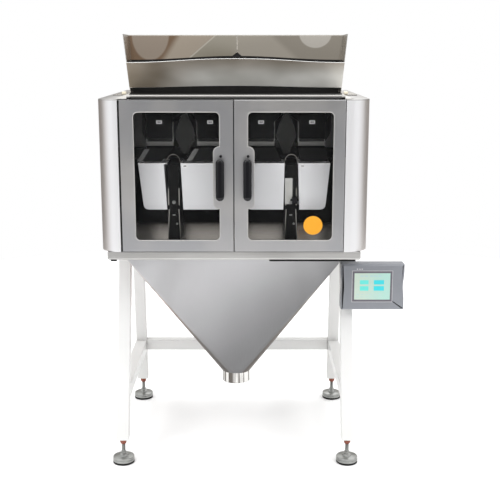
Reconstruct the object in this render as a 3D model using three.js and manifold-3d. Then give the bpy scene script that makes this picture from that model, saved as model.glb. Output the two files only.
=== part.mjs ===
// Four-head linear weigher on a tubular stand.
// Millimetres, +Z up, the glazed doors face -Y and the touch panel stands off to +X.
// Every size is measured from the centre line of the spout; one group at the end
// carries the whole machine to its reference point: the middle of its bounding box, on the floor.
import * as THREE from 'three';
import * as BufferGeometryUtils from 'three/addons/utils/BufferGeometryUtils.js';
import { ConvexGeometry } from 'three/addons/geometries/ConvexGeometry.js';
import Module from 'manifold-3d';

const wasm = await Module();
wasm.setup();

// ---- driving dimensions -------------------------------------------------------------------------
const GAP = 0.3;                 // clearance between pieces that touch
const OVER = 10;                 // how far a cutting shape runs past the piece that it cuts
const SLIVER = 0.01;             // the same, where both shapes share a slope
const SIDES = [-1, 1];           // left, right

// cabinet
const CABINET_HALF_WIDTH = 408;
const CABINET_FRONT = -382;
const CABINET_BACK = 340;
const CABINET_TOP = 1187;
const TRAY_BOTTOM = 701;
const TRAY_HEIGHT = 26;
const TRAY_HALF_WIDTH = 387;
const SHEET = 2.5;               // folded sheet thickness
const CORNER_RADIUS = 62;        // quarter-round front corners
const SIDE_FLANGE = 50;          // width of the flat top of a side panel
const SETBACK = 4;               // the tray and the side panels end this far inside the cabinet
const RETURN_DEPTH = 30;         // depth of the fold beside a door
const RAIL = { left: -317, right: 331, front: 14, back: 28, lift: 8, thickness: 4, foot: 10 };
const ROOF = { half: 352, back: 22 };   // black sheet between the rail and the feed hopper
const DECK_GAP = 8;              // between the feed hopper and the rear half of the roof

// doors
const DOOR_EDGE = [-342, 332];   // hinge-side edge of the left and the right door
const DOOR_THICKNESS = 12;
const DOOR_SEAM = 1.5;           // half the gap between the doors
const DOOR_CLEARANCE = 2;        // between a door and its side panel
const DOOR_BOTTOM = 729;
const DOOR_TOP = 1185.5;
const WINDOW = { inner: 42, outer: 298, bottom: 764, top: 1150, radius: 14 };
const TAB = { root: 22, reach: 61, bottom: 861, top: 1048, radius: 17 };
const GLASS_THICKNESS = 5;
const GLASS_LAP = 6;
const HANDLE = {
  x: 41, bottom: 888, top: 1013, standoff: 30, width: 25, thickness: 13, post: 15, bend: 20, chamfer: 7,
};

// collecting hopper under the cabinet
const HOPPER_HALF_WIDTH = 346.5;
const HOPPER_FRONT = -300;
const HOPPER_BACK = 200;
const SPOUT_Y = -50;
const SPOUT_RADIUS = 48;
const SPOUT_TOP = 239;
const SPOUT_BOTTOM = 200;
const HOPPER_WALL = 3;
const HOPPER_RIM = 8;            // flange of the tray inside the rim of the hopper

// stand
const TUBE = 40;
const TUBE_WALL = 3;
const LEG_X = 368;
const LEG_BOTTOM = 82;
const FRONT_LEG = { foot: -293, lean: 0.3166 };   // lean: travel in Y for each mm of height
const REAR_LEG = { foot: 292, lean: -0.105 };
const BRACE_Z = 224;
const LEG_PLATE = 6;             // solid end of a leg, tapped for the foot
const FOOT = {
  radius: 35, base: 12, step: 2, crown: 17, crownRadius: 27, collar: 24, collarRadius: 13, neckRadius: 9,
};
const STEM_RADIUS = 6;
const NUT = { radius: 12, height: 16, gap: 1 };

// feed hopper on the roof
const FEED = {
  topHalf: 371.5, topFront: -10, topBack: 140, top: 1382,
  lowHalf: 354.8, lowFront: 35, lowBack: 82, low: 1165,
};
const FRONT_WALL = { endBottom: 1207, endTop: 1289, rise: 13, lowRise: 6, joint: 0.2 };
const FOOT_PLATE = { reach: 392, front: -130, back: 120, thickness: 3, lap: 2 };

// weighing heads: four lanes, two on each side of the centre line
const LANE_PITCH = 158;
const LANE_OFFSET = 4;
const LANES = [-1.5, -0.5, 0.5, 1.5].map((step) => LANE_OFFSET + step * LANE_PITCH);
const COLUMN = { x: { left: -187.5, right: 176 }, half: 18, bottom: 738, inset: 4 };
const BUCKET = { front: -300, back: -186, top: 989, bottom: 845, wall: 2, radius: 18, mouth: 14 };
const FLAP = { pin: 6, pinRise: 8, pinRadius: 4, tip: 13, rise: 7, thickness: 2, sideGap: 0.8 };
// sideways reach of an inner and of an outer bucket, from the centre line
const BUCKET_SPAN = {
  left: {
    inner: { columnTop: 165, columnLow: 158.5, farTop: 28, farLow: 38 },
    outer: { columnTop: 217, columnLow: 208.5, farTop: 296, farLow: 281 },
  },
  right: {
    inner: { columnTop: 155, columnLow: 152, farTop: 28, farLow: 38 },
    outer: { columnTop: 197, columnLow: 201.5, farTop: 295.5, farLow: 282.5 },
  },
};
const DRIVE_BOX = { half: 330, front: -160, back: 0, bottom: 780, top: 985, wall: 3 };
const APRON = { y: -100, rise: 8 };
const PAN = {
  front: -240, knee: -60, rear: 100, mouth: 84, width: 150, bottom: 1050, height: 62, sheet: 2, lip: 13,
};
const PAN_SLOPE = 0.0882;
const VIBRATOR = { front: -70, back: 60, half: 45 };
const GATE = { width: 82, bottom: 1060, pivot: 1138, y: -249.5, sleeve: 4, sheet: 3 };
const BEAM = { front: -255.5, back: -226, height: 13.7 };
const DIVIDER = {
  front: -231, back: -228, apex: 1144, shoulder: 1108, widest: 1064, foot: 1012,
  half: 33, footHalf: 9, tip: 2,
};
const CHUTE = {
  top: 1034, bottom: 994, front: -276, back: -208, half: 45, inset: 8, sheet: 2,
  plateFront: -197, plateBack: -194.5, plateHeight: 33,
};

// touch panel
const PANEL = {
  left: 343, right: 548, bottom: 504, top: 656.5, front: -236, depth: 42,
  corner: 8, bezelSide: 41, bezelEnd: 30, recess: 4,
};
const BRACKET = { z: 578, armHalf: 14, plateHalf: 40, plateReach: 90, plate: 3.7, plateEdge: 16 };

// ---- finishes -----------------------------------------------------------------------------------
const finish = (color, roughness, metalness) =>
  new THREE.MeshStandardMaterial({ color, roughness, metalness });
const brushedSteel = () => finish(0x9a9a9e, 0.32, 1.0);
const mirrorSteel = () => finish(0xa9a49b, 0.08, 1.0);
const satinSteel = () => finish(0xc9c9cc, 0.38, 1.0);
const whitePaint = () => finish(0xebebe8, 0.45, 0.0);
const blackPaint = () => finish(0x161616, 0.5, 0.2);
const greyPlastic = () => finish(0x75787e, 0.5, 0.0);
const blackPlastic = () => finish(0x0c0c0d, 0.15, 0.0);
const acrylic = () => finish(0xdfe6e6, 0.05, 0.0);
const zincSteel = () => finish(0x8e8d88, 0.35, 1.0);
const redBrown = () => finish(0x7a3a26, 0.55, 0.2);

// ---- solids and booleans ------------------------------------------------------------------------
function solid(geometry) {
  const bare = geometry.clone();
  bare.deleteAttribute('normal');
  bare.deleteAttribute('uv');
  const merged = BufferGeometryUtils.mergeVertices(bare, 1e-4);
  return new wasm.Manifold(new wasm.Mesh({
    numProp: 3,
    vertProperties: new Float32Array(merged.attributes.position.array),
    triVerts: new Uint32Array(merged.index.array),
  }));
}

function geometryOf(manifold) {
  const mesh = manifold.getMesh();
  const geometry = new THREE.BufferGeometry();
  geometry.setAttribute('position', new THREE.BufferAttribute(new Float32Array(mesh.vertProperties), 3));
  geometry.setIndex(new THREE.BufferAttribute(new Uint32Array(mesh.triVerts), 1));
  const faceted = geometry.toNonIndexed();
  faceted.computeVertexNormals();
  return faceted;
}

const join = (...solids) => solids.reduce((whole, next) => whole.add(next));
const cut = (whole, ...tools) => tools.reduce((rest, tool) => rest.subtract(tool), whole);

const PLANES = {
  XY: new THREE.Matrix4(),
  XZ: new THREE.Matrix4().makeBasis(
    new THREE.Vector3(1, 0, 0), new THREE.Vector3(0, 0, 1), new THREE.Vector3(0, -1, 0)),
  YZ: new THREE.Matrix4().makeBasis(
    new THREE.Vector3(0, 1, 0), new THREE.Vector3(0, 0, 1), new THREE.Vector3(1, 0, 0)),
};

// a box between two limits on each axis
function block(x, y, z) {
  const geometry = new THREE.BoxGeometry(x[1] - x[0], y[1] - y[0], z[1] - z[0]);
  geometry.translate((x[0] + x[1]) / 2, (y[0] + y[1]) / 2, (z[0] + z[1]) / 2);
  return solid(geometry);
}

// an outline drawn in a plane and pulled from one limit to the other across it
function prism(outline, plane, low, high, curveSegments = 8) {
  const geometry = new THREE.ExtrudeGeometry(outline, {
    depth: high - low, bevelEnabled: false, curveSegments,
  });
  geometry.applyMatrix4(PLANES[plane]);
  const lift = { XY: [0, 0, low], XZ: [0, high, 0], YZ: [low, 0, 0] }[plane];
  geometry.translate(...lift);
  return solid(geometry);
}

function polygon(points) {
  return new THREE.Shape(points.map(([u, v]) => new THREE.Vector2(u, v)));
}

function roundedRectangle(left, right, bottom, top, radius) {
  const shape = new THREE.Shape();
  shape.moveTo(left + radius, bottom);
  shape.lineTo(right - radius, bottom);
  shape.absarc(right - radius, bottom + radius, radius, -Math.PI / 2, 0, false);
  shape.lineTo(right, top - radius);
  shape.absarc(right - radius, top - radius, radius, 0, Math.PI / 2, false);
  shape.lineTo(left + radius, top);
  shape.absarc(left + radius, top - radius, radius, Math.PI / 2, Math.PI, false);
  shape.lineTo(left, bottom + radius);
  shape.absarc(left + radius, bottom + radius, radius, Math.PI, 1.5 * Math.PI, false);
  return shape;
}

// a disc or bar standing along Z
function rod(radius, x, y, low, high, sides = 24, topRadius = radius) {
  const geometry = new THREE.CylinderGeometry(topRadius, radius, high - low, sides);
  geometry.rotateX(Math.PI / 2);
  geometry.translate(x, y, (low + high) / 2);
  return solid(geometry);
}

// the tightest skin round a set of level rectangles or rings
function skin(...loops) {
  return solid(new ConvexGeometry(loops.flat().map((point) => new THREE.Vector3(...point))));
}

const rectangle = (x0, x1, y0, y1, z) => [[x0, y0, z], [x1, y0, z], [x1, y1, z], [x0, y1, z]];
const ring = (radius, x, y, z, sides = 24) => Array.from({ length: sides }, (_, i) => {
  const angle = (i + 0.5) * 2 * Math.PI / sides;
  return [x + radius * Math.cos(angle), y + radius * Math.sin(angle), z];
});

const ordered = (a, b) => [Math.min(a, b), Math.max(a, b)];
const sideName = (side) => (side < 0 ? 'left' : 'right');

const machine = new THREE.Group();

function place(name, manifold, material) {
  const mesh = new THREE.Mesh(geometryOf(manifold), material);
  mesh.name = name;
  machine.add(mesh);
  return mesh;
}

// ---- stand: raked legs, braces, rails, levelling feet -------------------------------------------
const legY = (leg, z) => leg.foot + leg.lean * (z - LEG_BOTTOM);

function legBar(leg, x, half, low, high) {
  const depth = half * Math.hypot(1, leg.lean);
  const outline = polygon([
    [legY(leg, low) - depth, low], [legY(leg, low) + depth, low],
    [legY(leg, high) + depth, high], [legY(leg, high) - depth, high],
  ]);
  return prism(outline, 'YZ', x - half, x + half);
}

const LEGS = { front: FRONT_LEG, rear: REAR_LEG };
const legTop = TRAY_BOTTOM - GAP;
const legKeepOut = [];

for (const [end, leg] of Object.entries(LEGS)) {
  for (const side of SIDES) {
    const x = side * LEG_X;
    const hollow = legBar(leg, x, TUBE / 2 - TUBE_WALL, LEG_BOTTOM + LEG_PLATE, legTop + OVER);
    const tube = cut(legBar(leg, x, TUBE / 2, LEG_BOTTOM, legTop), hollow);
    place(`leg_${end}_${sideName(side)}`, tube, whitePaint());
    legKeepOut.push(legBar(leg, x, TUBE / 2 + GAP, LEG_BOTTOM - GAP, legTop + GAP));

    const footY = leg.foot;
    const disc = join(
      rod(FOOT.radius, x, footY, 0, FOOT.base, 32),
      rod(FOOT.radius - FOOT.step, x, footY, FOOT.base, FOOT.crown, 32, FOOT.crownRadius),
      rod(FOOT.collarRadius, x, footY, FOOT.crown, FOOT.collar, 24, FOOT.neckRadius),
      rod(STEM_RADIUS, x, footY, FOOT.collar, LEG_BOTTOM - GAP, 16),
    );
    place(`foot_${end}_${sideName(side)}`, disc, zincSteel());

    const nutTop = LEG_BOTTOM - NUT.gap;
    const nut = cut(
      rod(NUT.radius, x, footY, nutTop - NUT.height, nutTop, 6),
      rod(STEM_RADIUS + GAP, x, footY, nutTop - NUT.height - OVER, nutTop + OVER, 16),
    );
    place(`lock_nut_${end}_${sideName(side)}`, nut, redBrown());
  }
}

const tubeZ = (centre) => [centre - TUBE / 2, centre + TUBE / 2];
const bore = TUBE / 2 - TUBE_WALL;

for (const side of SIDES) {
  const x = side * LEG_X;
  const across = [x - TUBE / 2, x + TUBE / 2];
  const inside = [x - bore, x + bore];
  const levels = { side_brace: BRACE_Z, top_rail: legTop - TUBE / 2 };
  for (const [name, z] of Object.entries(levels)) {
    const from = legY(FRONT_LEG, z);
    const to = legY(REAR_LEG, z);
    const bar = cut(
      block(across, [from, to], tubeZ(z)),
      block(inside, [from - TUBE, to + TUBE], [z - bore, z + bore]),
      ...legKeepOut,
    );
    const pieces = bar.decompose();
    const largest = pieces.reduce((best, next) => (next.volume() > best.volume() ? next : best));
    place(`${name}_${sideName(side)}`, largest, whitePaint());
  }
}

const rearBraceY = legY(REAR_LEG, BRACE_Z);
const rearBraceEnd = LEG_X - TUBE / 2 - GAP;
place('rear_brace', cut(
  block([-rearBraceEnd, rearBraceEnd], [rearBraceY - TUBE / 2, rearBraceY + TUBE / 2], tubeZ(BRACE_Z)),
  block([-LEG_X, LEG_X], [rearBraceY - bore, rearBraceY + bore], [BRACE_Z - bore, BRACE_Z + bore]),
), whitePaint());

// ---- collecting hopper and spout ----------------------------------------------------------------
const hopperTop = TRAY_BOTTOM - GAP;

function hopperForm(inset, over) {
  return skin(
    rectangle(-HOPPER_HALF_WIDTH + inset, HOPPER_HALF_WIDTH - inset,
      HOPPER_FRONT + inset, HOPPER_BACK - inset, hopperTop + over),
    ring(SPOUT_RADIUS - inset, 0, SPOUT_Y, SPOUT_TOP - over),
  );
}

place('collecting_hopper', cut(hopperForm(0, 0), hopperForm(HOPPER_WALL, SLIVER)), brushedSteel());
place('spout', cut(
  rod(SPOUT_RADIUS, 0, SPOUT_Y, SPOUT_BOTTOM, SPOUT_TOP - GAP, 32),
  rod(SPOUT_RADIUS - HOPPER_WALL, 0, SPOUT_Y, SPOUT_BOTTOM - OVER, SPOUT_TOP + OVER, 32),
), satinSteel());

// ---- cabinet: tray, side panels, rear cover, front roof with its rail ---------------------------
const trayTop = TRAY_BOTTOM + TRAY_HEIGHT;
const trayBack = CABINET_BACK - SETBACK;
const trayFront = CABINET_FRONT + SETBACK;
const trayInner = TRAY_HALF_WIDTH - SHEET;
place('base_tray', cut(
  block([-TRAY_HALF_WIDTH, TRAY_HALF_WIDTH], [trayFront, trayBack], [TRAY_BOTTOM, trayTop]),
  block([-trayInner, trayInner], [trayFront + SHEET, trayBack - SHEET],
    [TRAY_BOTTOM + SHEET, trayTop + OVER]),
  block([HOPPER_RIM - HOPPER_HALF_WIDTH, HOPPER_HALF_WIDTH - HOPPER_RIM],
    [HOPPER_FRONT + HOPPER_RIM, HOPPER_BACK - HOPPER_RIM], [TRAY_BOTTOM - OVER, trayTop + OVER]),
), brushedSteel());

// plan of a side panel, drawn for the right-hand side from the door gap round the corner
function sidePanelPlan(doorEdge, closed) {
  const arcX = CABINET_HALF_WIDTH - CORNER_RADIUS;
  const arcY = CABINET_FRONT + CORNER_RADIUS;
  const back = CABINET_BACK - SETBACK;
  const shape = new THREE.Shape();
  shape.moveTo(doorEdge, CABINET_FRONT);
  shape.lineTo(arcX, CABINET_FRONT);
  shape.absarc(arcX, arcY, CORNER_RADIUS, -Math.PI / 2, 0, false);
  shape.lineTo(CABINET_HALF_WIDTH, back);
  if (closed) {
    shape.lineTo(CABINET_HALF_WIDTH - SIDE_FLANGE, back);
    shape.lineTo(CABINET_HALF_WIDTH - SIDE_FLANGE, CABINET_FRONT + RETURN_DEPTH);
    shape.lineTo(doorEdge, CABINET_FRONT + RETURN_DEPTH);
    return shape;
  }
  const inner = CORNER_RADIUS - SHEET;
  shape.lineTo(CABINET_HALF_WIDTH - SHEET, back);
  shape.lineTo(CABINET_HALF_WIDTH - SHEET, arcY);
  shape.absarc(arcX, arcY, inner, 0, -Math.PI / 2, true);
  shape.lineTo(doorEdge, CABINET_FRONT + SHEET);
  return shape;
}

const mirrored = (manifold) => manifold.mirror([1, 0, 0]);

for (const side of SIDES) {
  const edge = Math.abs(DOOR_EDGE[side < 0 ? 0 : 1]) + DOOR_CLEARANCE;
  const low = trayTop + GAP;
  const panel = join(
    prism(sidePanelPlan(edge, false), 'XY', low, CABINET_TOP, 12),
    prism(sidePanelPlan(edge, true), 'XY', CABINET_TOP - SHEET, CABINET_TOP, 12),
    prism(sidePanelPlan(edge, true), 'XY', low, low + SHEET, 12),
  );
  place(`side_panel_${sideName(side)}`, side < 0 ? mirrored(panel) : panel, satinSteel());
}

const deckHalf = CABINET_HALF_WIDTH - SIDE_FLANGE - GAP;
const deckFront = FEED.topBack + DECK_GAP;
place('rear_cover', join(
  block([SETBACK - CABINET_HALF_WIDTH, CABINET_HALF_WIDTH - SETBACK],
    [CABINET_BACK - SETBACK + GAP, CABINET_BACK], [trayTop + GAP, CABINET_TOP]),
  block([-deckHalf, deckHalf], [deckFront, CABINET_BACK], [CABINET_TOP - SHEET, CABINET_TOP]),
), satinSteel());

const railY = [CABINET_FRONT + RAIL.front, CABINET_FRONT + RAIL.back];
const railTop = CABINET_TOP + RAIL.lift + RAIL.thickness;
place('front_roof', join(
  block([-ROOF.half, ROOF.half], [railY[0], ROOF.back], [CABINET_TOP + GAP, CABINET_TOP + GAP + SHEET]),
  block([RAIL.left, RAIL.right], railY, [CABINET_TOP + RAIL.lift, railTop]),
  block([RAIL.left, RAIL.left + RAIL.foot], railY, [CABINET_TOP + GAP, railTop]),
  block([RAIL.right - RAIL.foot, RAIL.right], railY, [CABINET_TOP + GAP, railTop]),
), blackPaint());

// ---- doors: frame, pane, bow handle -------------------------------------------------------------
const doorBack = CABINET_FRONT + DOOR_THICKNESS;

function bowHandle(x) {
  const front = CABINET_FRONT - HANDLE.standoff;
  const inside = front + HANDLE.thickness;
  const wall = CABINET_FRONT - GAP;
  const outer = new THREE.Shape();
  const { bottom, top, post, bend, chamfer } = HANDLE;
  outer.moveTo(wall, bottom);
  outer.lineTo(front + bend, bottom);
  outer.quadraticCurveTo(front, bottom, front, bottom + bend);
  outer.lineTo(front, top - bend);
  outer.quadraticCurveTo(front, top, front + bend, top);
  outer.lineTo(wall, top);
  outer.lineTo(wall, top - post);
  outer.lineTo(inside + chamfer, top - post);
  outer.lineTo(inside, top - post - chamfer);
  outer.lineTo(inside, bottom + post + chamfer);
  outer.lineTo(inside + chamfer, bottom + post);
  outer.lineTo(wall, bottom + post);
  return prism(outer, 'YZ', x - HANDLE.width / 2, x + HANDLE.width / 2, 5);
}

for (const side of SIDES) {
  const hinge = DOOR_EDGE[side < 0 ? 0 : 1];
  const spanX = ordered(hinge, side * DOOR_SEAM);
  const windowX = ordered(side * WINDOW.inner, side * WINDOW.outer);
  const tabX = ordered(side * TAB.root, side * TAB.reach);
  const cutY = [CABINET_FRONT - OVER, doorBack + OVER];
  const opening = cut(
    prism(roundedRectangle(...windowX, WINDOW.bottom, WINDOW.top, WINDOW.radius), 'XZ', ...cutY),
    prism(roundedRectangle(...tabX, TAB.bottom, TAB.top, TAB.radius), 'XZ', ...cutY),
  );
  const frame = block(spanX, [CABINET_FRONT, doorBack], [DOOR_BOTTOM, DOOR_TOP]);
  place(`door_${sideName(side)}`, cut(frame, opening), brushedSteel());

  const paneX = [windowX[0] - GLASS_LAP, windowX[1] + GLASS_LAP];
  const pane = block(paneX, [doorBack + GAP, doorBack + GAP + GLASS_THICKNESS],
    [WINDOW.bottom - GLASS_LAP, WINDOW.top + GLASS_LAP]);
  place(`window_pane_${sideName(side)}`, pane, acrylic());
  place(`door_handle_${sideName(side)}`, bowHandle(side * HANDLE.x), blackPlastic());
}

// ---- drive box, apron and the two columns between the buckets -----------------------------------
const boxWall = DRIVE_BOX.wall;
place('drive_box', cut(
  block([-DRIVE_BOX.half, DRIVE_BOX.half], [DRIVE_BOX.front, DRIVE_BOX.back],
    [DRIVE_BOX.bottom, DRIVE_BOX.top]),
  block([boxWall - DRIVE_BOX.half, DRIVE_BOX.half - boxWall],
    [DRIVE_BOX.front + boxWall, DRIVE_BOX.back + OVER],
    [DRIVE_BOX.bottom + boxWall, DRIVE_BOX.top - boxWall]),
), blackPaint());

place('lower_apron', block([-DRIVE_BOX.half, DRIVE_BOX.half], [APRON.y, APRON.y + SHEET],
  [TRAY_BOTTOM + APRON.rise, DRIVE_BOX.bottom - GAP]), mirrorSteel());

for (const side of SIDES) {
  const x = COLUMN.x[sideName(side)];
  const body = block([x - COLUMN.half, x + COLUMN.half],
    [BUCKET.front + COLUMN.inset, DRIVE_BOX.front - GAP], [COLUMN.bottom, BUCKET.top - COLUMN.inset]);
  place(`drive_column_${sideName(side)}`, body, blackPaint());
}

// ---- weigh buckets and their discharge flaps ----------------------------------------------------
// front view of a bucket, for the right-hand half, from its column side to its rounded far side
function bucketOutline(span, inset, low, high) {
  const toward = Math.sign(span.farTop - span.columnTop);
  const columnTop = span.columnTop + toward * inset;
  const columnLow = span.columnLow + toward * inset;
  const farTop = span.farTop - toward * inset;
  const farLow = span.farLow - toward * inset;
  const shape = new THREE.Shape();
  shape.moveTo(columnTop, high);
  shape.lineTo(columnLow, low);
  const radius = BUCKET.radius - inset;
  const bend = farLow - toward * radius;
  shape.lineTo(bend, low);
  shape.quadraticCurveTo(farLow, low, farLow + toward, low + radius);
  shape.lineTo(farTop, high);
  return shape;
}

for (const side of SIDES) {
  for (const [rank, span] of Object.entries(BUCKET_SPAN[sideName(side)])) {
    const toward = Math.sign(span.farTop - span.columnTop);
    const orient = (manifold) => (side < 0 ? mirrored(manifold) : manifold);
    const inner = BUCKET.wall;
    const body = cut(
      prism(bucketOutline(span, 0, BUCKET.bottom, BUCKET.top), 'XZ', BUCKET.front, BUCKET.back, 5),
      prism(bucketOutline(span, inner, BUCKET.bottom + BUCKET.mouth, BUCKET.top + OVER), 'XZ',
        BUCKET.front + inner, BUCKET.back - inner, 5),
      block(ordered(span.columnLow - toward * OVER, span.farTop + toward * OVER),
        [BUCKET.front + inner, BUCKET.back - inner],
        [BUCKET.bottom - OVER, BUCKET.bottom + BUCKET.mouth + SLIVER]),
    );
    place(`weigh_bucket_${rank}_${sideName(side)}`, orient(body), satinSteel());

    const pinX = span.columnLow + toward * FLAP.pin;
    const tipX = span.farLow - toward * FLAP.tip;
    const leafY = [BUCKET.front + inner + FLAP.sideGap, BUCKET.back - inner - FLAP.sideGap];
    const leafLow = BUCKET.bottom + FLAP.rise;
    const pin = new THREE.CylinderGeometry(FLAP.pinRadius, FLAP.pinRadius, leafY[1] - leafY[0], 16);
    pin.translate(pinX, (leafY[0] + leafY[1]) / 2, BUCKET.bottom + FLAP.pinRise);
    const leaf = join(
      solid(pin),
      block(ordered(pinX, tipX), leafY, [leafLow, leafLow + FLAP.thickness]),
    );
    place(`discharge_flap_${rank}_${sideName(side)}`, orient(leaf), satinSteel());
  }
}

// ---- feeder lanes: vibrator, pan, pan gate ------------------------------------------------------
const slope = Math.atan(PAN_SLOPE);

function feederPan() {
  const half = PAN.width / 2;
  const mouth = PAN.mouth / 2;
  const sheet = PAN.sheet;
  const floorLevel = PAN.bottom - sheet;
  const outside = polygon([[-half, PAN.rear], [-half, PAN.knee], [-mouth, PAN.front],
    [mouth, PAN.front], [half, PAN.knee], [half, PAN.rear]]);
  const room = polygon([[sheet - half, PAN.rear - sheet], [sheet - half, PAN.knee],
    [sheet - mouth, PAN.front - SLIVER], [mouth - sheet, PAN.front - SLIVER], [half - sheet, PAN.knee],
    [half - sheet, PAN.rear - sheet]]);
  const tray = cut(
    prism(outside, 'XY', floorLevel, PAN.bottom + PAN.height),
    prism(room, 'XY', PAN.bottom, PAN.bottom + PAN.height + OVER),
  );
  const lip = block([-mouth, mouth], [PAN.front, PAN.front + sheet], [PAN.bottom - PAN.lip, PAN.bottom]);
  const geometry = geometryOf(join(tray, lip));
  geometry.translate(0, -PAN.front, -PAN.bottom);
  geometry.rotateX(slope);
  geometry.translate(0, PAN.front, PAN.bottom);
  return solid(geometry);
}

function vibrator() {
  const under = (y) => PAN.bottom - 2 * PAN.sheet + (y - PAN.front) * PAN_SLOPE;
  const { front, back, half } = VIBRATOR;
  return prism(polygon([[front, DRIVE_BOX.top + GAP], [back, DRIVE_BOX.top + GAP],
    [back, under(back)], [front, under(front)]]), 'YZ', -half, half);
}

function panGate() {
  const sleeve = new THREE.CylinderGeometry(GATE.sleeve, GATE.sleeve, GATE.width, 16);
  sleeve.rotateZ(Math.PI / 2);
  sleeve.translate(0, GATE.y, GATE.pivot);
  const half = GATE.width / 2;
  return join(
    solid(sleeve),
    block([-half, half], [GATE.y - GATE.sheet / 2, GATE.y + GATE.sheet / 2], [GATE.bottom, GATE.pivot]),
  );
}

LANES.forEach((x, lane) => {
  const number = lane + 1;
  place(`vibrator_${number}`, vibrator().translate([x, 0, 0]), blackPaint());
  place(`feeder_pan_${number}`, feederPan().translate([x, 0, 0]), satinSteel());
  place(`pan_gate_${number}`, panGate().translate([x, 0, 0]), blackPaint());
});

// ---- beam over the pan mouths, with the pointed dividers between the lanes ----------------------
function divider(x) {
  const { apex, shoulder, widest, foot, half, footHalf, tip } = DIVIDER;
  const bulge = half - 4 * tip;
  const shape = new THREE.Shape();
  shape.moveTo(x - tip, apex);
  shape.quadraticCurveTo(x - bulge, shoulder, x - half, widest);
  shape.lineTo(x - footHalf, foot);
  shape.lineTo(x + footHalf, foot);
  shape.lineTo(x + half, widest);
  shape.quadraticCurveTo(x + bulge, shoulder, x + tip, apex);
  return prism(shape, 'XZ', DIVIDER.front, DIVIDER.back, 6);
}

const beamLow = GATE.pivot + GATE.sleeve + GAP;
const beamEnd = CABINET_HALF_WIDTH - SHEET - GAP;
place('gate_beam', join(
  block([-beamEnd, beamEnd], [BEAM.front, BEAM.back], [beamLow, beamLow + BEAM.height]),
  ...[-1, 0, 1].map((step) => divider(LANE_OFFSET + step * LANE_PITCH)),
), blackPaint());

// ---- chutes that lead each lane into its bucket -------------------------------------------------
const { left: leftSpan, right: rightSpan } = BUCKET_SPAN;
const CHUTE_FOOT = [
  [CHUTE.inset - leftSpan.outer.farTop, -leftSpan.outer.columnTop - CHUTE.inset],
  [CHUTE.inset - leftSpan.inner.columnTop, -leftSpan.inner.farTop - CHUTE.inset],
  [rightSpan.inner.farTop + CHUTE.inset, rightSpan.inner.columnTop - CHUTE.inset],
  [rightSpan.outer.columnTop + CHUTE.inset, rightSpan.outer.farTop - CHUTE.inset],
];

function chute(centre, [left, right], inset, margin) {
  const half = CHUTE.half - inset;
  return skin(
    rectangle(centre - half, centre + half, CHUTE.front + inset, CHUTE.back - inset, CHUTE.top + margin),
    rectangle(left + inset, right - inset, BUCKET.front + CHUTE.inset + inset,
      BUCKET.back - CHUTE.inset - inset, CHUTE.bottom - margin),
  );
}

const chuteOutside = join(
  ...LANES.map((x, lane) => chute(x, CHUTE_FOOT[lane], 0, 0)),
  block([-beamEnd, beamEnd], [CHUTE.plateFront, CHUTE.plateBack],
    [CHUTE.bottom + 1, CHUTE.bottom + 1 + CHUTE.plateHeight]),
);
place('chute_block', cut(chuteOutside,
  ...LANES.map((x, lane) => chute(x, CHUTE_FOOT[lane], CHUTE.sheet, SLIVER))), satinSteel());

// ---- feed hopper: side and rear walls, then the low arched front wall ---------------------------
function feedForm(inset, margin) {
  return skin(
    rectangle(-FEED.topHalf + inset, FEED.topHalf - inset,
      FEED.topFront + inset, FEED.topBack - inset, FEED.top + margin),
    rectangle(-FEED.lowHalf + inset, FEED.lowHalf - inset,
      FEED.lowFront + inset, FEED.lowBack - inset, FEED.low - margin),
  );
}

const feedShell = cut(feedForm(0, 0), feedForm(SHEET, SLIVER));
const frontSlope = (FEED.lowFront - FEED.topFront) / (FEED.top - FEED.low);

// everything in front of (toward = -1) or behind a plane that lies inside the sloping front wall
function besideFrontWall(toward, depth) {
  const far = toward < 0 ? FEED.topFront - OVER : FEED.topBack + OVER;
  const high = FEED.top + OVER;
  const low = FEED.low - OVER;
  return prism(polygon([
    [far, high], [FEED.topFront - OVER * frontSlope + depth, high],
    [FEED.lowFront + OVER * frontSlope + depth, low], [far, low],
  ]), 'YZ', -FEED.topHalf - OVER, FEED.topHalf + OVER);
}

// a foot plate on each side stands on the flat top of the side panel
const footPlates = SIDES.map((side) => cut(
  block(ordered(side * (FEED.lowHalf - FOOT_PLATE.lap), side * FOOT_PLATE.reach),
    [FOOT_PLATE.front, FOOT_PLATE.back], [CABINET_TOP + GAP, CABINET_TOP + FOOT_PLATE.thickness]),
  feedForm(SHEET, SLIVER),
));
const feedBehind = cut(feedShell, besideFrontWall(-1, SHEET + FRONT_WALL.joint + GAP));
place('feed_hopper', join(feedBehind, ...footPlates), mirrorSteel());

const archHalf = FEED.topHalf + OVER;
const archTop = FRONT_WALL.endTop + FRONT_WALL.rise;
const archLow = FRONT_WALL.endBottom + FRONT_WALL.lowRise;
const shoulderOut = 0.55 * archHalf;
const shoulderIn = 0.45 * archHalf;
const band = new THREE.Shape();
band.moveTo(-archHalf, FRONT_WALL.endBottom);
band.lineTo(-archHalf, FRONT_WALL.endTop);
band.bezierCurveTo(-shoulderOut, FRONT_WALL.endTop, -shoulderIn, archTop, 0, archTop);
band.bezierCurveTo(shoulderIn, archTop, shoulderOut, FRONT_WALL.endTop, archHalf, FRONT_WALL.endTop);
band.lineTo(archHalf, FRONT_WALL.endBottom);
band.bezierCurveTo(shoulderOut, FRONT_WALL.endBottom, shoulderIn, archLow, 0, archLow);
band.bezierCurveTo(-shoulderIn, archLow, -shoulderOut, FRONT_WALL.endBottom, -archHalf, FRONT_WALL.endBottom);
const frontBand = prism(band, 'XZ', FEED.topFront - OVER, FEED.lowFront + OVER, 10);
place('hopper_front_wall', cut(
  feedShell.intersect(frontBand),
  besideFrontWall(1, SHEET + FRONT_WALL.joint),
), brushedSteel());

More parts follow.
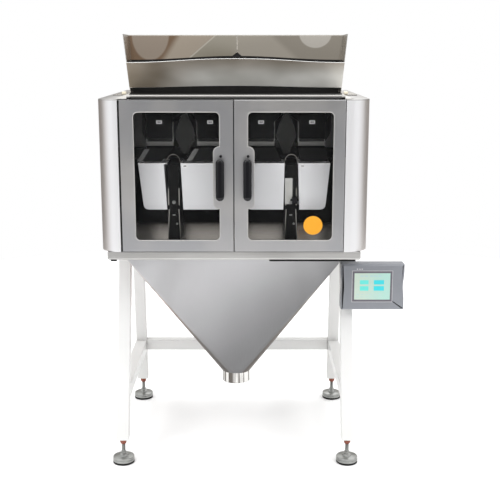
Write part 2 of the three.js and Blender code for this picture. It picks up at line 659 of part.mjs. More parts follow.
// ---- touch panel on its bracket -----------------------------------------------------------------
const panelBack = PANEL.front + PANEL.depth;
const panelOutline = roundedRectangle(PANEL.left, PANEL.right, PANEL.bottom, PANEL.top, PANEL.corner);
place('touch_panel', cut(
  prism(panelOutline, 'XZ', PANEL.front, panelBack, 4),
  block([PANEL.left + PANEL.bezelSide, PANEL.right - PANEL.bezelSide],
    [PANEL.front - OVER, PANEL.front + PANEL.recess],
    [PANEL.bottom + PANEL.bezelEnd, PANEL.top - PANEL.bezelEnd]),
), greyPlastic());

// an arm from the right front leg to a plate behind the housing
const plateY = [panelBack + GAP, panelBack + GAP + BRACKET.plate];
place('panel_bracket', cut(
  join(
    block([LEG_X - BRACKET.armHalf, LEG_X + BRACKET.armHalf], [plateY[0] + 1, legY(FRONT_LEG, BRACKET.z)],
      [BRACKET.z - BRACKET.armHalf, BRACKET.z + BRACKET.armHalf]),
    block([LEG_X - BRACKET.plateEdge, LEG_X + BRACKET.plateReach], plateY,
      [BRACKET.z - BRACKET.plateHalf, BRACKET.z + BRACKET.plateHalf]),
  ),
  ...legKeepOut,
), whitePaint());

// ---- reference point: the middle of the bounding box, on the floor ------------------------------
const box = new THREE.Box3().setFromObject(machine);
const centre = box.getCenter(new THREE.Vector3());
machine.position.set(-centre.x, -centre.y, -box.min.z);

export default machine;
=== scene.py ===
"""Looks of a four-head linear weigher: bright sheet steel, white powder coat and glazed doors."""
import math

import bmesh
import bpy
from mathutils import Matrix, Vector


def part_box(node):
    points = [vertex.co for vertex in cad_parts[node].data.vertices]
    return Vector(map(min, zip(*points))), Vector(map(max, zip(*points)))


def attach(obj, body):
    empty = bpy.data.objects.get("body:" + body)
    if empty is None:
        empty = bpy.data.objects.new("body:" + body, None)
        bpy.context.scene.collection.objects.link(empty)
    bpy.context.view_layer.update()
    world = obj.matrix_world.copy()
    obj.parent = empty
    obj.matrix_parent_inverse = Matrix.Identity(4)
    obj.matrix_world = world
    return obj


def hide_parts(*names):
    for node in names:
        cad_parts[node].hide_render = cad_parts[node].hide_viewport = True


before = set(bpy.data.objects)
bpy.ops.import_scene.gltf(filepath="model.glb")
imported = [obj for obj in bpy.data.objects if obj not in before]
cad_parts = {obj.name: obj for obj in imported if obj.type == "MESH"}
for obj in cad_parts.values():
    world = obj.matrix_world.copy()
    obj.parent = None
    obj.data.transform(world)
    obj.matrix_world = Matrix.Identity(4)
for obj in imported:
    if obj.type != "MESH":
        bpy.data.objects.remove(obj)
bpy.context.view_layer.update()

# ---- Camera --------------------------------------------------------------------------------
# Stands three metres in front of the middle of the machine, a little below the rim of the feed
# hopper, and looks slightly down so that the feet are in view.
camera_lens = bpy.data.cameras.new("camera")
camera_lens.sensor_width = 36.0
camera_lens.lens = 66.17
camera = bpy.data.objects.new("camera", camera_lens)
camera.location = (-0.0214, -3.083, 1.3204)
camera.rotation_euler = (math.radians(90 - 12.09), 0, 0)
bpy.context.scene.collection.objects.link(camera)
bpy.context.scene.camera = camera


# ---- Studio --------------------------------------------------------------------------------
# A white floor and a white room. What shines in the steel is a room with a soft white
# ceiling, two broad white side walls and a plain grey wall behind the camera.
class Value:
    """A number or colour that a node gives. Numbers can be used in ordinary sums."""

    def __init__(self, finish, socket):
        self.finish = finish
        self.socket = socket

    def maths(self, operation, *numbers):
        return self.finish.node("Math", {"operation": operation}, dict(enumerate(numbers)))

    def __add__(self, other):
        return self.maths("ADD", self, other)

    def __sub__(self, other):
        return self.maths("SUBTRACT", self, other)

    def __mul__(self, other):
        return self.maths("MULTIPLY", self, other)

    def __truediv__(self, other):
        return self.maths("DIVIDE", self, other)

    def __rsub__(self, other):
        return self.maths("SUBTRACT", other, self)

    def __rtruediv__(self, other):
        return self.maths("DIVIDE", other, self)

    def __abs__(self):
        return self.maths("ABSOLUTE", self)

    __radd__ = __add__
    __rmul__ = __mul__

    def between(self, low, high):
        """0 below low, 1 above high, and a smooth step from one to the other."""
        return self.finish.node(
            "MapRange",
            {"interpolation_type": "SMOOTHSTEP"},
            {"Value": self, "From Min": low, "From Max": high},
        )


class Finish:
    """A material made of nodes around one Principled shader."""

    def __init__(self, name, **fixed):
        self.material = bpy.data.materials.new(name)
        self.material.use_nodes = True
        self.tree = self.material.node_tree
        self.shader = self.tree.nodes["Principled BSDF"]
        for socket, number in fixed.items():
            self.shader.inputs[socket.replace("_", " ").title().replace("Ior", "IOR")].default_value = number

    def node(self, kind, settings=None, sockets=None, output=0):
        """Adds a node, with its settings first and then the values or links of its sockets."""
        made = self.tree.nodes.new("ShaderNode" + kind)
        for name, setting in (settings or {}).items():
            if name == "stops":
                for stop, (place, colour) in zip(made.color_ramp.elements, setting):
                    stop.position = place
                    stop.color = (*colour, 1)
            else:
                setattr(made, name, setting)
        for name, number in (sockets or {}).items():
            if isinstance(number, Value):
                self.tree.links.new(number.socket, made.inputs[name])
            else:
                made.inputs[name].default_value = number
        return Value(self, made.outputs[output])

    def place(self, stretch=(1, 1, 1)):
        """Object coordinates in metres, stretched along the axes."""
        where = self.node("TexCoord", output="Object")
        return self.node("Mapping", {"vector_type": "POINT"}, {"Vector": where, "Scale": stretch})

    def axis(self, name):
        """One coordinate of the surface in metres."""
        return self.node("SeparateXYZ", {}, {"Vector": self.place()}, name)

    def noise(self, scale, stretch=(1, 1, 1), detail=2.0, rough=0.5):
        return self.node("TexNoise", {}, {
            "Vector": self.place(stretch), "Scale": scale, "Detail": detail, "Roughness": rough,
        }, "Fac")

    def mix(self, factor, first, second):
        """A colour between two colours."""
        colours = {}
        for index, colour in ((6, first), (7, second)):
            colours[index] = colour if isinstance(colour, Value) else (*colour, 1)
        return self.node("Mix", {"data_type": "RGBA"}, {0: factor, **colours}, 2)

    def feed(self, **surface):
        """Links values to the shader's own sockets."""
        for socket, value in surface.items():
            self.tree.links.new(value.socket, self.shader.inputs[socket.replace("_", " ").title()])

    def relief(self, height, depth, strength=1.0):
        """Raises and sinks the surface by up to depth metres."""
        bumps = self.node("Bump", {}, {"Height": height, "Distance": depth, "Strength": strength})
        self.feed(normal=bumps)


class Sky(Finish):
    """The world, with a Background shader in place of a Principled one."""

    def __init__(self, name):
        self.world = bpy.data.worlds.new(name)
        self.world.use_nodes = True
        self.tree = self.world.node_tree
        self.shader = self.tree.nodes["Background"]


FRONT_WALL = (0.32, 0.315, 0.31)
SIDE_WALL = (1.05, 1.05, 1.06)
BACK_WALL = (0.42, 0.40, 0.375)
CEILING = (1.75, 1.75, 1.75)
BELOW = (0.36, 0.355, 0.345)
WHITE = (1.0, 1.0, 1.0)

sky = Sky("studio")
heading = sky.node("TexCoord", output="Generated")
across = sky.node("SeparateXYZ", {}, {"Vector": heading}, "X")
back = sky.node("SeparateXYZ", {}, {"Vector": heading}, "Y")
up = sky.node("SeparateXYZ", {}, {"Vector": heading}, "Z")
turn = abs(across.maths("ARCTAN2", across, 0 - back))
walls = sky.mix(turn.between(0.30, 0.62), FRONT_WALL, SIDE_WALL)
walls = sky.mix(turn.between(1.25, 1.75), walls, BACK_WALL)
room = sky.mix(up.between(0.30, 0.85), walls, CEILING)
room = sky.mix((0 - up).between(0.02, 0.30), room, BELOW)
seen = sky.node("LightPath", output="Is Camera Ray")
sky.feed(color=sky.mix(seen, room, WHITE))
bpy.context.scene.world = sky.world
bpy.context.scene.view_settings.view_transform = "Standard"


def mottled(name, dark, light, scale, detail=2.0, stretch=(1, 1, 1), **fixed):
    """A finish of one roughness, whose colour drifts between two shades."""
    made = Finish(name, **fixed)
    made.feed(base_color=made.mix(made.noise(scale, stretch, detail), dark, light))
    return made


FLOOR_REACH = 3.2
floor_mesh = bmesh.new()
bmesh.ops.create_circle(floor_mesh, cap_ends=True, radius=FLOOR_REACH, segments=96)
floor_data = bpy.data.meshes.new("floor")
floor_mesh.to_mesh(floor_data)
floor_mesh.free()
floor = bpy.data.objects.new("floor", floor_data)
floor_paint = mottled("floor_paint", (0.94, 0.94, 0.94), (0.97, 0.97, 0.97), 3.0, roughness=0.9)
floor_data.materials.append(floor_paint.material)
bpy.context.scene.collection.objects.link(floor)

# a soft box beyond each shoulder of the camera, a broad one for the rear, and a broader one overhead
for name, power, size, spot, aim in (
    ("key_light", 16, 0.7, (-1.9, -2.3, 2.6), (0, 0, 0.7)),
    ("fill_light", 11, 0.7, (2.1, -2.2, 2.4), (0, 0, 0.7)),
    ("rear_light", 14, 2.0, (0.4, 2.8, 2.6), (0, 0, 0.7)),
    ("top_light", 70, 3.2, (0, -0.5, 4.2), (0, -0.5, 0)),
):
    lamp = bpy.data.lights.new(name, "AREA")
    lamp.energy = power
    lamp.size = size
    light = bpy.data.objects.new(name, lamp)
    light.location = spot
    light.rotation_euler = (Vector(aim) - Vector(spot)).to_track_quat("-Z", "Y").to_euler()
    bpy.context.scene.collection.objects.link(light)

# ---- Stand: tubes --------------------------------------------------------------------------
# Legs, braces and top rails of 40 mm square steel tube, welded together, with rounded tube
# corners, under a white powder coat with a faint orange-peel skin.
MM = 0.001
spout_low, spout_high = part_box("spout")
CENTRE_X = (spout_low.x + spout_high.x) / 2
MIDDLE_Y = (spout_low.y + spout_high.y) / 2 + 50 * MM   # the spout is 50 mm ahead of the middle
SIDES = (("left", -1), ("right", 1))


def at(x, y, z):
    """A point in millimetres: across from the spout, back from the middle of the feet, up."""
    return Vector((CENTRE_X + x * MM, MIDDLE_Y + y * MM, z * MM))


def mesh_of(*nodes):
    """The merged mesh of one or more CAD nodes, free to be shaped."""
    bm = bmesh.new()
    for node in nodes:
        bm.from_mesh(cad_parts[node].data)
    bmesh.ops.remove_doubles(bm, verts=bm.verts, dist=0.02 * MM)
    bmesh.ops.dissolve_limit(bm, angle_limit=math.radians(0.6), verts=bm.verts, edges=bm.edges)
    return bm


def round_edges(bm, width, segments=2, angle=35, chosen=None):
    """Rounds the edges that are sharper than angle, or only those that chosen accepts."""
    edges = [
        edge for edge in bm.edges
        if len(edge.link_faces) == 2 and edge.calc_face_angle(0) > math.radians(angle)
        and (chosen is None or chosen(edge))
    ]
    bmesh.ops.bevel(
        bm, geom=edges, offset=width * MM, segments=segments, profile=0.5,
        affect="EDGES", material=-1, clamp_overlap=True,
    )
    return bm


def finished(bm, name, body, slot, finish, *nodes, smooth=40):
    """Makes the mesh a piece that moves with a body and, where nodes are given, shows for them."""
    mesh = bpy.data.meshes.new(name)
    bm.to_mesh(mesh)
    bm.free()
    mesh.materials.append(finish.material)
    mesh.shade_smooth()
    mesh.set_sharp_from_angle(angle=math.radians(smooth))
    piece = bpy.data.objects.new(name, mesh)
    bpy.context.scene.collection.objects.link(piece)
    even = piece.modifiers.new("even_normals", "WEIGHTED_NORMAL")
    even.keep_sharp = True
    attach(piece, body)
    if nodes:
        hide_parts(*nodes)
    return piece


powder_coat = Finish("powder_coat", roughness=0.42, coat_weight=0.15)
peel = powder_coat.noise(420, detail=3)
cloud = powder_coat.noise(5, detail=3)
# the coat is darker and greyer towards the floor
darker_towards_floor = 1 - powder_coat.axis("Z").between(0.05, 0.40)
coat_tone = powder_coat.mix(cloud, (0.70, 0.70, 0.69), (0.76, 0.76, 0.755))
powder_coat.feed(
    base_color=powder_coat.mix(darker_towards_floor * 0.35, coat_tone, (0.62, 0.615, 0.59)),
    roughness=0.36 + cloud * 0.14,
)
powder_coat.relief(peel, 0.0004, 0.35)

STAND = [f"leg_{end}_{side}" for end in ("front", "rear") for side, _ in SIDES]
STAND += [f"{bar}_{side}" for bar in ("side_brace", "top_rail") for side, _ in SIDES]
STAND += ["rear_brace"]
for node in STAND:
    finished(round_edges(mesh_of(node), 2.6, 3), node + "_tube", "machine", "white_paint",
             powder_coat, node)

# ---- Stand: feet and lock nuts -------------------------------------------------------------
# Levelling feet: a rubber pad under a pressed zinc-plated disc with a step, a swivel collar and
# a threaded stem, held by a red-brown lacquered nut under each leg.
def add_spun(bm, foot, outline, steps=48, closed=False):
    """Turns an outline of (radius, height) pairs in millimetres about an upright axis."""
    points = [bm.verts.new(foot + Vector((radius * MM, 0, height * MM))) for radius, height in outline]
    pairs = list(zip(points, points[1:]))
    if closed:
        pairs.append((points[-1], points[0]))
    edges = [bm.edges.new(pair) for pair in pairs]
    bmesh.ops.spin(bm, geom=points + edges, cent=foot, axis=(0, 0, 1),
                   angle=2 * math.pi, steps=steps, use_merge=True)
    bmesh.ops.remove_doubles(bm, verts=bm.verts, dist=0.01 * MM)
    bmesh.ops.recalc_face_normals(bm, faces=bm.faces)
    return bm


rubber = mottled("black_rubber", (0.006, 0.006, 0.006), (0.018, 0.017, 0.016), 60, detail=4,
                 roughness=0.75, specular_ior_level=0.12)
rubber.relief(rubber.noise(900), 0.0002, 0.4)

zinc = Finish("zinc_plate", metallic=1.0)
tarnish = zinc.noise(45, detail=4)
zinc.feed(
    base_color=zinc.mix(tarnish, (0.22, 0.225, 0.22), (0.44, 0.445, 0.43)),
    roughness=0.22 + tarnish * 0.22,
)
zinc.relief(zinc.noise(700, stretch=(1, 1, 3)), 0.0002, 0.3)

lacquer = Finish("red_brown_lacquer", metallic=0.3, coat_weight=0.5)
lacquer_wear = lacquer.noise(160, detail=3)
lacquer.feed(
    base_color=lacquer.mix(lacquer_wear, (0.13, 0.022, 0.010), (0.30, 0.070, 0.030)),
    roughness=0.25 + lacquer_wear * 0.2,
)
lacquer.relief(lacquer_wear, 0.0002, 0.3)

PAD = ((0, 0), (33, 0), (35, 1.4), (35, 5.2), (33.6, 6.4), (0, 6.4))
DISC = (
    (0, 6.5), (33.8, 6.5), (35, 7.6), (35, 12.6), (33.6, 13.6), (33.6, 14.6), (34.6, 15.6), (34.6, 20.4),
    (33.2, 22), (15.4, 23.6), (14, 24.8), (13.4, 30), (10, 31.6), (9, 32), (9, 37), (7, 38), (0, 38),
)
STEM_RADIUS = 6.0
THREAD_PITCH = 1.75
THREAD_DEPTH = 0.9
THREAD_LOW = 37.0
NUT = {"radius": 12, "hexagon_share": 0.64, "skirt_share": 0.4}
for end in ("front", "rear"):
    for side, _ in SIDES:
        node = f"foot_{end}_{side}"
        low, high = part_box(node)
        foot = Vector(((low.x + high.x) / 2, (low.y + high.y) / 2, low.z))
        finished(add_spun(bmesh.new(), foot, PAD), node + "_pad", "machine", "black_paint", rubber)
        turns = int(((high.z - low.z) / MM - THREAD_LOW) / THREAD_PITCH)
        thread = [(0, THREAD_LOW)]
        for turn_number in range(turns):
            level = THREAD_LOW + turn_number * THREAD_PITCH
            thread += [(STEM_RADIUS - THREAD_DEPTH, level), (STEM_RADIUS, level + THREAD_PITCH / 2)]
        thread += [(0, THREAD_LOW + turns * THREAD_PITCH)]
        steel_parts = add_spun(bmesh.new(), foot, DISC)
        add_spun(steel_parts, foot, thread, 20)
        finished(steel_parts, node + "_steel", "machine", "zinc_steel", zinc, node, smooth=50)

        nut_node = f"lock_nut_{end}_{side}"
        nut_low, nut_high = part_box(nut_node)
        height = (nut_high.z - nut_low.z) / MM
        depth = height * NUT["hexagon_share"]
        nut = bmesh.new()
        hexagon = bmesh.ops.create_cone(nut, cap_ends=True, segments=6, radius1=NUT["radius"] * MM,
                                        radius2=NUT["radius"] * MM, depth=depth * MM)
        middle = Vector((foot.x, foot.y, nut_high.z - depth / 2 * MM))
        bmesh.ops.translate(nut, vec=middle, verts=hexagon["verts"])
        round_edges(nut, 1.0, 2)
        skirt_top = height * NUT["skirt_share"]
        skirt = ((0, 0.2), (8.2, 0.2), (9.4, 1.4), (10.8, skirt_top), (0, skirt_top))
        add_spun(nut, Vector((foot.x, foot.y, nut_low.z)), skirt, 32)
        finished(nut, nut_node + "_turned", "machine", "red_brown_lacquer", lacquer, nut_node)

# ---- Collecting hopper and spout -----------------------------------------------------------
# Four sloping walls of brushed steel sheet, folded from a rectangle at the top to a round
# neck, with a short polished tube welded under it.
def steel(name, dark, light, roughness, grain, spread=0.10, depth=0.00012, **fixed):
    """Sheet steel with a fine grain. The grain runs along the axis with the smallest number."""
    made = Finish(name, metallic=1.0, **fixed)
    scratches = made.noise(1.0, stretch=grain, detail=4, rough=0.6)
    haze = made.noise(3.2, detail=3)
    tone = haze * 0.65 + scratches * 0.35
    made.feed(
        base_color=made.mix(tone.between(0.25, 0.75), dark, light),
        roughness=roughness - spread / 2 + tone * spread,
    )
    made.relief(scratches, depth, 0.5)
    return made


HOPPER_STEPS = 96
HOPPER_WALL = 2.5
hopper_low, hopper_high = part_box("collecting_hopper")
neck = Vector(((spout_low.x + spout_high.x) / 2, (spout_low.y + spout_high.y) / 2, hopper_low.z))
neck_radius = (spout_high.x - spout_low.x) / 2
NECK_FOLD = 17 * MM          # half width of the flat front face at the neck
hopper_steel = Finish("hopper_steel", metallic=1.0)
hopper_rise = hopper_steel.axis("Z")
hopper_side = hopper_steel.axis("X") - neck.x
fold_slope = ((hopper_high.x - hopper_low.x) / 2 - NECK_FOLD) / (hopper_high.z - neck.z)
past_fold = abs(hopper_side) - ((hopper_rise - neck.z) * fold_slope + NECK_FOLD)
hopper_grain = hopper_steel.noise(1.0, stretch=(700, 60, 4), detail=4, rough=0.6)
hopper_haze = hopper_steel.noise(2.4, detail=2)
# painted light: the flat faces carry a painted highlight, lighter towards the top and the left; the folded
# corners carry a painted tan reflection on the left and painted shade on the right, both darker towards the
# neck
painted_sheen = (hopper_rise * 0.8 - hopper_side * 0.55 + hopper_haze * 0.16).between(0.28, 0.66)
painted_face_light = hopper_steel.mix(painted_sheen, (0.19, 0.19, 0.195), (0.53, 0.53, 0.545))
painted_tan_reflection = hopper_steel.mix(hopper_rise.between(0.34, 0.60), (0.07, 0.055, 0.045), (0.46, 0.33, 0.28))
painted_fold_shade = hopper_steel.mix(hopper_rise.between(0.34, 0.60), (0.10, 0.08, 0.065), (0.30, 0.27, 0.24))
painted_fold_light = hopper_steel.mix(hopper_side.between(-0.02, 0.02), painted_tan_reflection, painted_fold_shade)
painted_hopper_light = hopper_steel.mix(past_fold.between(0.000, 0.012), painted_face_light, painted_fold_light)
hopper_steel.feed(
    base_color=hopper_steel.mix(hopper_grain * 0.18, painted_hopper_light, (0.42, 0.42, 0.42)),
    roughness=0.28 + hopper_grain * 0.12,
)
hopper_steel.relief(hopper_grain, 0.00012, 0.5)
hopper = bmesh.new()
bmesh.ops.create_circle(hopper, cap_ends=False, radius=neck_radius, segments=HOPPER_STEPS)
bmesh.ops.translate(hopper, vec=neck, verts=hopper.verts)
for x in (hopper_low.x, hopper_high.x):
    for y in (hopper_low.y, hopper_high.y):
        hopper.verts.new((x, y, hopper_high.z))
bmesh.ops.convex_hull(hopper, input=hopper.verts)
level_faces = [f for f in hopper.faces if abs(f.normal.z) > 0.999]
bmesh.ops.delete(hopper, geom=level_faces, context="FACES")
bmesh.ops.recalc_face_normals(hopper, faces=hopper.faces)
bmesh.ops.solidify(hopper, geom=hopper.faces, thickness=HOPPER_WALL * MM)
finished(hopper, "collecting_hopper_sheet", "machine", "brushed_steel", hopper_steel,
         "collecting_hopper", smooth=24)

polished_tube = steel("polished_tube", (0.62, 0.62, 0.61), (0.86, 0.86, 0.85), 0.17, (4, 4, 900))
spout_steel = Finish("spout_steel", metallic=1.0)
# painted reflection: upright dark and bright stripes round the polished tube
spout_reflection_bands = spout_steel.noise(1.0, stretch=(75, 75, 2), detail=2)
spout_steel.feed(
    base_color=spout_steel.mix(spout_reflection_bands.between(0.40, 0.60), (0.12, 0.11, 0.10), (0.72, 0.71, 0.69)),
    roughness=0.14 + spout_reflection_bands * 0.10,
)
spout = bmesh.new()
spout_height = (spout_high.z - spout_low.z) / MM
SPOUT_TUBE = (
    (47.4, 1.2), (47.9, 0.4), (47.2, 0), (45.4, 0), (44.8, 0.8),
    (44.8, spout_height), (47.4, spout_height), (47.4, 3),
)
add_spun(spout, Vector((neck.x, neck.y, spout_low.z)), SPOUT_TUBE, 96, closed=True)
finished(spout, "spout_tube", "machine", "satin_steel", spout_steel, "spout")

weld_steel = steel("weld_steel", (0.34, 0.30, 0.26), (0.60, 0.57, 0.53), 0.38, (300, 300, 300), depth=0.0006)
weld = bmesh.new()
WELD_CENTRE = 46.6
WELD_RADIUS = 1.7
WELD_RING = [
    (WELD_CENTRE + WELD_RADIUS * math.cos(step * math.pi / 4), WELD_RADIUS * math.sin(step * math.pi / 4))
    for step in range(8)
]
add_spun(weld, Vector((neck.x, neck.y, spout_high.z)), WELD_RING, 96, closed=True)
finished(weld, "spout_weld", "machine", "brushed_steel", weld_steel)


def add_block(bm, low, high):
    """Adds a block between two corners."""
    made = bmesh.ops.create_cube(bm, size=1)["verts"]
    bmesh.ops.scale(bm, vec=high - low, verts=made)
    bmesh.ops.translate(bm, vec=(low + high) / 2, verts=made)
    return made


# ---- Cabinet: base tray --------------------------------------------------------------------
# A folded tray of brushed sheet that carries the cabinet, with rounded lower corners. Black
# rubber strips of uneven length lie between it and the stand: partly a seal, partly a dark strip put in for
# the shadow in that gap.
tray_steel = steel("tray_steel", (0.38, 0.375, 0.365), (0.56, 0.555, 0.545), 0.36, (5, 60, 800))
tray_low, tray_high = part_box("base_tray")


def lower_side_edge(edge):
    """Whether an edge runs front to back along an outer lower corner of the tray."""
    return all(
        abs(vert.co.z - tray_low.z) < 0.1 * MM
        and min(abs(vert.co.x - tray_low.x), abs(vert.co.x - tray_high.x)) < 0.1 * MM
        for vert in edge.verts
    )


tray = round_edges(mesh_of("base_tray"), 6.5, 5, chosen=lower_side_edge)
round_edges(tray, 0.8, 2, angle=50)
finished(tray, "base_tray_sheet", "machine", "brushed_steel", tray_steel, "base_tray")

# the black strips are partly a seal and partly a dark strip standing for the shadow in the gap under the tray
STAND_SEAL_AND_SHADOW = {"height": 3.4, "front": -377, "back": -371}
seal_and_shadow_top = tray_low.z / MM - 0.1
for name, start, end in (("stand_seal_and_shadow_left", -378, -359), ("stand_seal_and_shadow_right", 108, 372)):
    seal = bmesh.new()
    add_block(seal, at(start, STAND_SEAL_AND_SHADOW["front"], seal_and_shadow_top - STAND_SEAL_AND_SHADOW["height"]), at(end, STAND_SEAL_AND_SHADOW["back"], seal_and_shadow_top))
    finished(round_edges(seal, 1.0, 2), name, "machine", "black_paint", rubber)

# ---- Cabinet: side panels ------------------------------------------------------------------
# Each side is one sheet, rolled round the front corner and folded over at the top and bottom.
# The strip beside each door is matt and pale, and the bend is brushed upright and shines. The
# inside face is near black as painted shade, the top fold is darkened as painted shade, and the left bend is
# darker than the right as a painted reflection.
side_steel = Finish("side_steel")
side_grain = side_steel.noise(1.0, stretch=(500, 500, 5), detail=4, rough=0.6)
side_haze = side_steel.noise(3.0, detail=3)
side_reach = abs(side_steel.axis("X") - CENTRE_X)
BEND = (0.366, 0.404)             # where the round front corner starts and ends, in metres
outward = side_reach.between(*BEND)
side_tone = side_steel.mix(outward, (0.74, 0.74, 0.755), (0.66, 0.62, 0.60))
# painted reflection: the left bend is darker and browner than the right one
painted_left_bend_reflection = (CENTRE_X - side_steel.axis("X")).between(*BEND)
side_tone = side_steel.mix(painted_left_bend_reflection * 0.7, side_tone, (0.42, 0.375, 0.36))
# painted shade: the inner face behind the front strip is near black
panel_back = side_steel.axis("Y").between(-0.284, -0.276)
painted_inner_shade = (1 - side_reach.between(0.4057, 0.4067)) * panel_back
side_tone = side_steel.mix(painted_inner_shade, side_tone, (0.02, 0.02, 0.02))
# painted shade: the top fold is darker
painted_top_fold_shade = side_steel.axis("Z").between(1.1835, 1.1850)
side_tone = side_steel.mix(painted_top_fold_shade, side_tone, (0.36, 0.355, 0.35))
side_steel.feed(
    base_color=side_steel.mix(side_grain * 0.2 + side_haze * 0.15, side_tone, (0.56, 0.55, 0.54)),
    metallic=outward * 0.65 + 0.35,
    roughness=0.24 + side_haze * 0.14,
)
side_steel.relief(side_grain, 0.00012, 0.4)
for side, _ in SIDES:
    node = f"side_panel_{side}"
    panel = round_edges(mesh_of(node), 1.1, 3, angle=40)
    finished(panel, node + "_sheet", "machine", "satin_steel", side_steel, node, smooth=35)

# ---- Cabinet: rear cover -------------------------------------------------------------------
# A flat brushed cover that unscrews from the back, with pressed louvres that let the drives
# breathe. Its top edge meets the rear half of the roof.
cover_steel = steel("cover_steel", (0.62, 0.62, 0.62), (0.78, 0.78, 0.78), 0.36, (5, 500, 700))
finished(round_edges(mesh_of("rear_cover"), 0.9, 2), "rear_cover_sheet", "machine", "satin_steel",
         cover_steel, "rear_cover")
rear_face = (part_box("rear_cover")[1].y - MIDDLE_Y) / MM
LOUVRE = {"length": 120, "height": 7, "depth": 5, "pitch": 20, "count": 8, "lowest": 820, "across": 190}
louvres = bmesh.new()
for centre in (-LOUVRE["across"], LOUVRE["across"]):
    for step in range(LOUVRE["count"]):
        level = LOUVRE["lowest"] + step * LOUVRE["pitch"]
        bar = add_block(
            louvres,
            at(centre - LOUVRE["length"] / 2, rear_face - 0.4, level),
            at(centre + LOUVRE["length"] / 2, rear_face + LOUVRE["depth"], level + LOUVRE["height"]),
        )
        lip = [v for v in bar if v.co.y > at(0, rear_face + 1, 0).y and v.co.z > (level + 1) * MM]
        bmesh.ops.translate(louvres, vec=(0, -LOUVRE["depth"] * 0.9 * MM, 0), verts=lip)
finished(round_edges(louvres, 1.2, 2, angle=25), "rear_louvres", "machine", "satin_steel", cover_steel)

SCREW = ((0, 2.6), (2.2, 2.5), (3.9, 1.7), (4.5, 0.2), (4.5, 0), (0, 0))
SCREW_STEPS = 20


def add_screws(bm, outline, places, facing):
    """Adds turned screw heads at points, each standing out along facing."""
    turned = Vector((0, 0, 1)).rotation_difference(Vector(facing)).to_matrix().to_4x4()
    for place in places:
        single = add_spun(bmesh.new(), Vector((0, 0, 0)), outline, SCREW_STEPS)
        bmesh.ops.transform(single, matrix=Matrix.Translation(place) @ turned, verts=single.verts)
        loose = bpy.data.meshes.new("screw")
        single.to_mesh(loose)
        single.free()
        bm.from_mesh(loose)
        bpy.data.meshes.remove(loose)
    return bm


SCREW_PITCH = 195
SCREW_ROWS = (745, 1170)
MIDDLE_ROW = 957
screw_places = [at(step * SCREW_PITCH, rear_face - 0.1, z) for step in range(-2, 3) for z in SCREW_ROWS]
screw_places += [at(sign * 2 * SCREW_PITCH, rear_face - 0.1, MIDDLE_ROW) for _, sign in SIDES]
screws = add_screws(bmesh.new(), SCREW, screw_places, (0, 1, 0))
finished(screws, "rear_screws", "machine", "zinc_steel", polished_tube)

# ---- Cabinet: front roof -------------------------------------------------------------------
# A sheet covers the pans ahead of the feed hopper, bright at each end; its middle is coated black as
# painted shade, where the dark inside shows behind the rail. A thin bright rail on short posts runs along its
# front edge, just above the doors.
black_paint = Finish("black_paint", specular_ior_level=0.07)
paint_cloud = black_paint.noise(14, detail=4)
black_paint.feed(
    base_color=black_paint.mix(paint_cloud, (0.002, 0.002, 0.002), (0.006, 0.0058, 0.0055)),
    roughness=0.42 + paint_cloud * 0.2,
)
black_paint.relief(black_paint.noise(500, detail=3), 0.0003, 0.3)

rail_steel = steel("rail_steel", (0.66, 0.66, 0.65), (0.86, 0.86, 0.85), 0.28, (4, 500, 500))
rail_tint = Finish("rail_anodised", metallic=0.3)
rail_grain = rail_tint.noise(1.0, stretch=(4, 500, 500), detail=3)
rail_tint.feed(
    base_color=rail_tint.mix(rail_grain, (0.50, 0.485, 0.46), (0.66, 0.65, 0.63)),
    roughness=0.3 + rail_grain * 0.1,
)
roof = mesh_of("front_roof")
round_edges(roof, 0.6, 2)
RAIL_BASE = 1193 * MM
bmesh.ops.bisect_plane(roof, geom=roof.verts[:] + roof.edges[:] + roof.faces[:],
                       plane_co=(0, 0, RAIL_BASE), plane_no=(0, 0, 1))
rail = roof.copy()
bmesh.ops.delete(roof, geom=[f for f in roof.faces if f.calc_center_median().z > RAIL_BASE], context="FACES")
bmesh.ops.delete(rail, geom=[f for f in rail.faces if f.calc_center_median().z < RAIL_BASE], context="FACES")
wings = roof.copy()
# the painted-shade black part narrows from the ends of the rail towards the back: a corner, and the way
# inward
shade_sides = [(at(-317, -368, 0), Vector((390, 38, 0)).normalized()),
               (at(331, -368, 0), Vector((-390, 24, 0)).normalized())]
for corner, inward in shade_sides:
    for part in (roof, wings):
        bmesh.ops.bisect_plane(part, geom=part.verts[:] + part.edges[:] + part.faces[:],
                               plane_co=corner, plane_no=inward)
for part, keep_shade in ((roof, True), (wings, False)):
    gone = [f for f in part.faces if keep_shade != all(
        (f.calc_center_median() - corner).dot(inward) > 0 for corner, inward in shade_sides)]
    bmesh.ops.delete(part, geom=gone, context="FACES")
for part in (roof, wings, rail):
    bmesh.ops.holes_fill(part, edges=[e for e in part.edges if e.is_boundary], sides=0)
    bmesh.ops.recalc_face_normals(part, faces=part.faces)
# the middle of the roof is black as painted shade
finished(roof, "front_roof_shade_sheet", "machine", "black_paint", black_paint, "front_roof")
finished(wings, "front_roof_wings", "machine", "black_paint", rail_tint)
finished(rail, "front_rail", "machine", "brushed_steel", rail_tint)

# ---- Doors ---------------------------------------------------------------------------------
# Two leaves of thick brushed steel with round-cornered windows. Each has a tab that reaches
# into the window for the handle, and a clear pane bonded behind. The left one has a black edge seal, which
# also stands for the shade in the gap beside it.
door_steel = Finish("door_steel", metallic=1.0)
door_grain = door_steel.noise(1.0, stretch=(700, 300, 5), detail=4, rough=0.6)
door_haze = door_steel.noise(3.4, stretch=(1.6, 1, 0.8), detail=3)
door_smudge = door_steel.noise(11, detail=4)
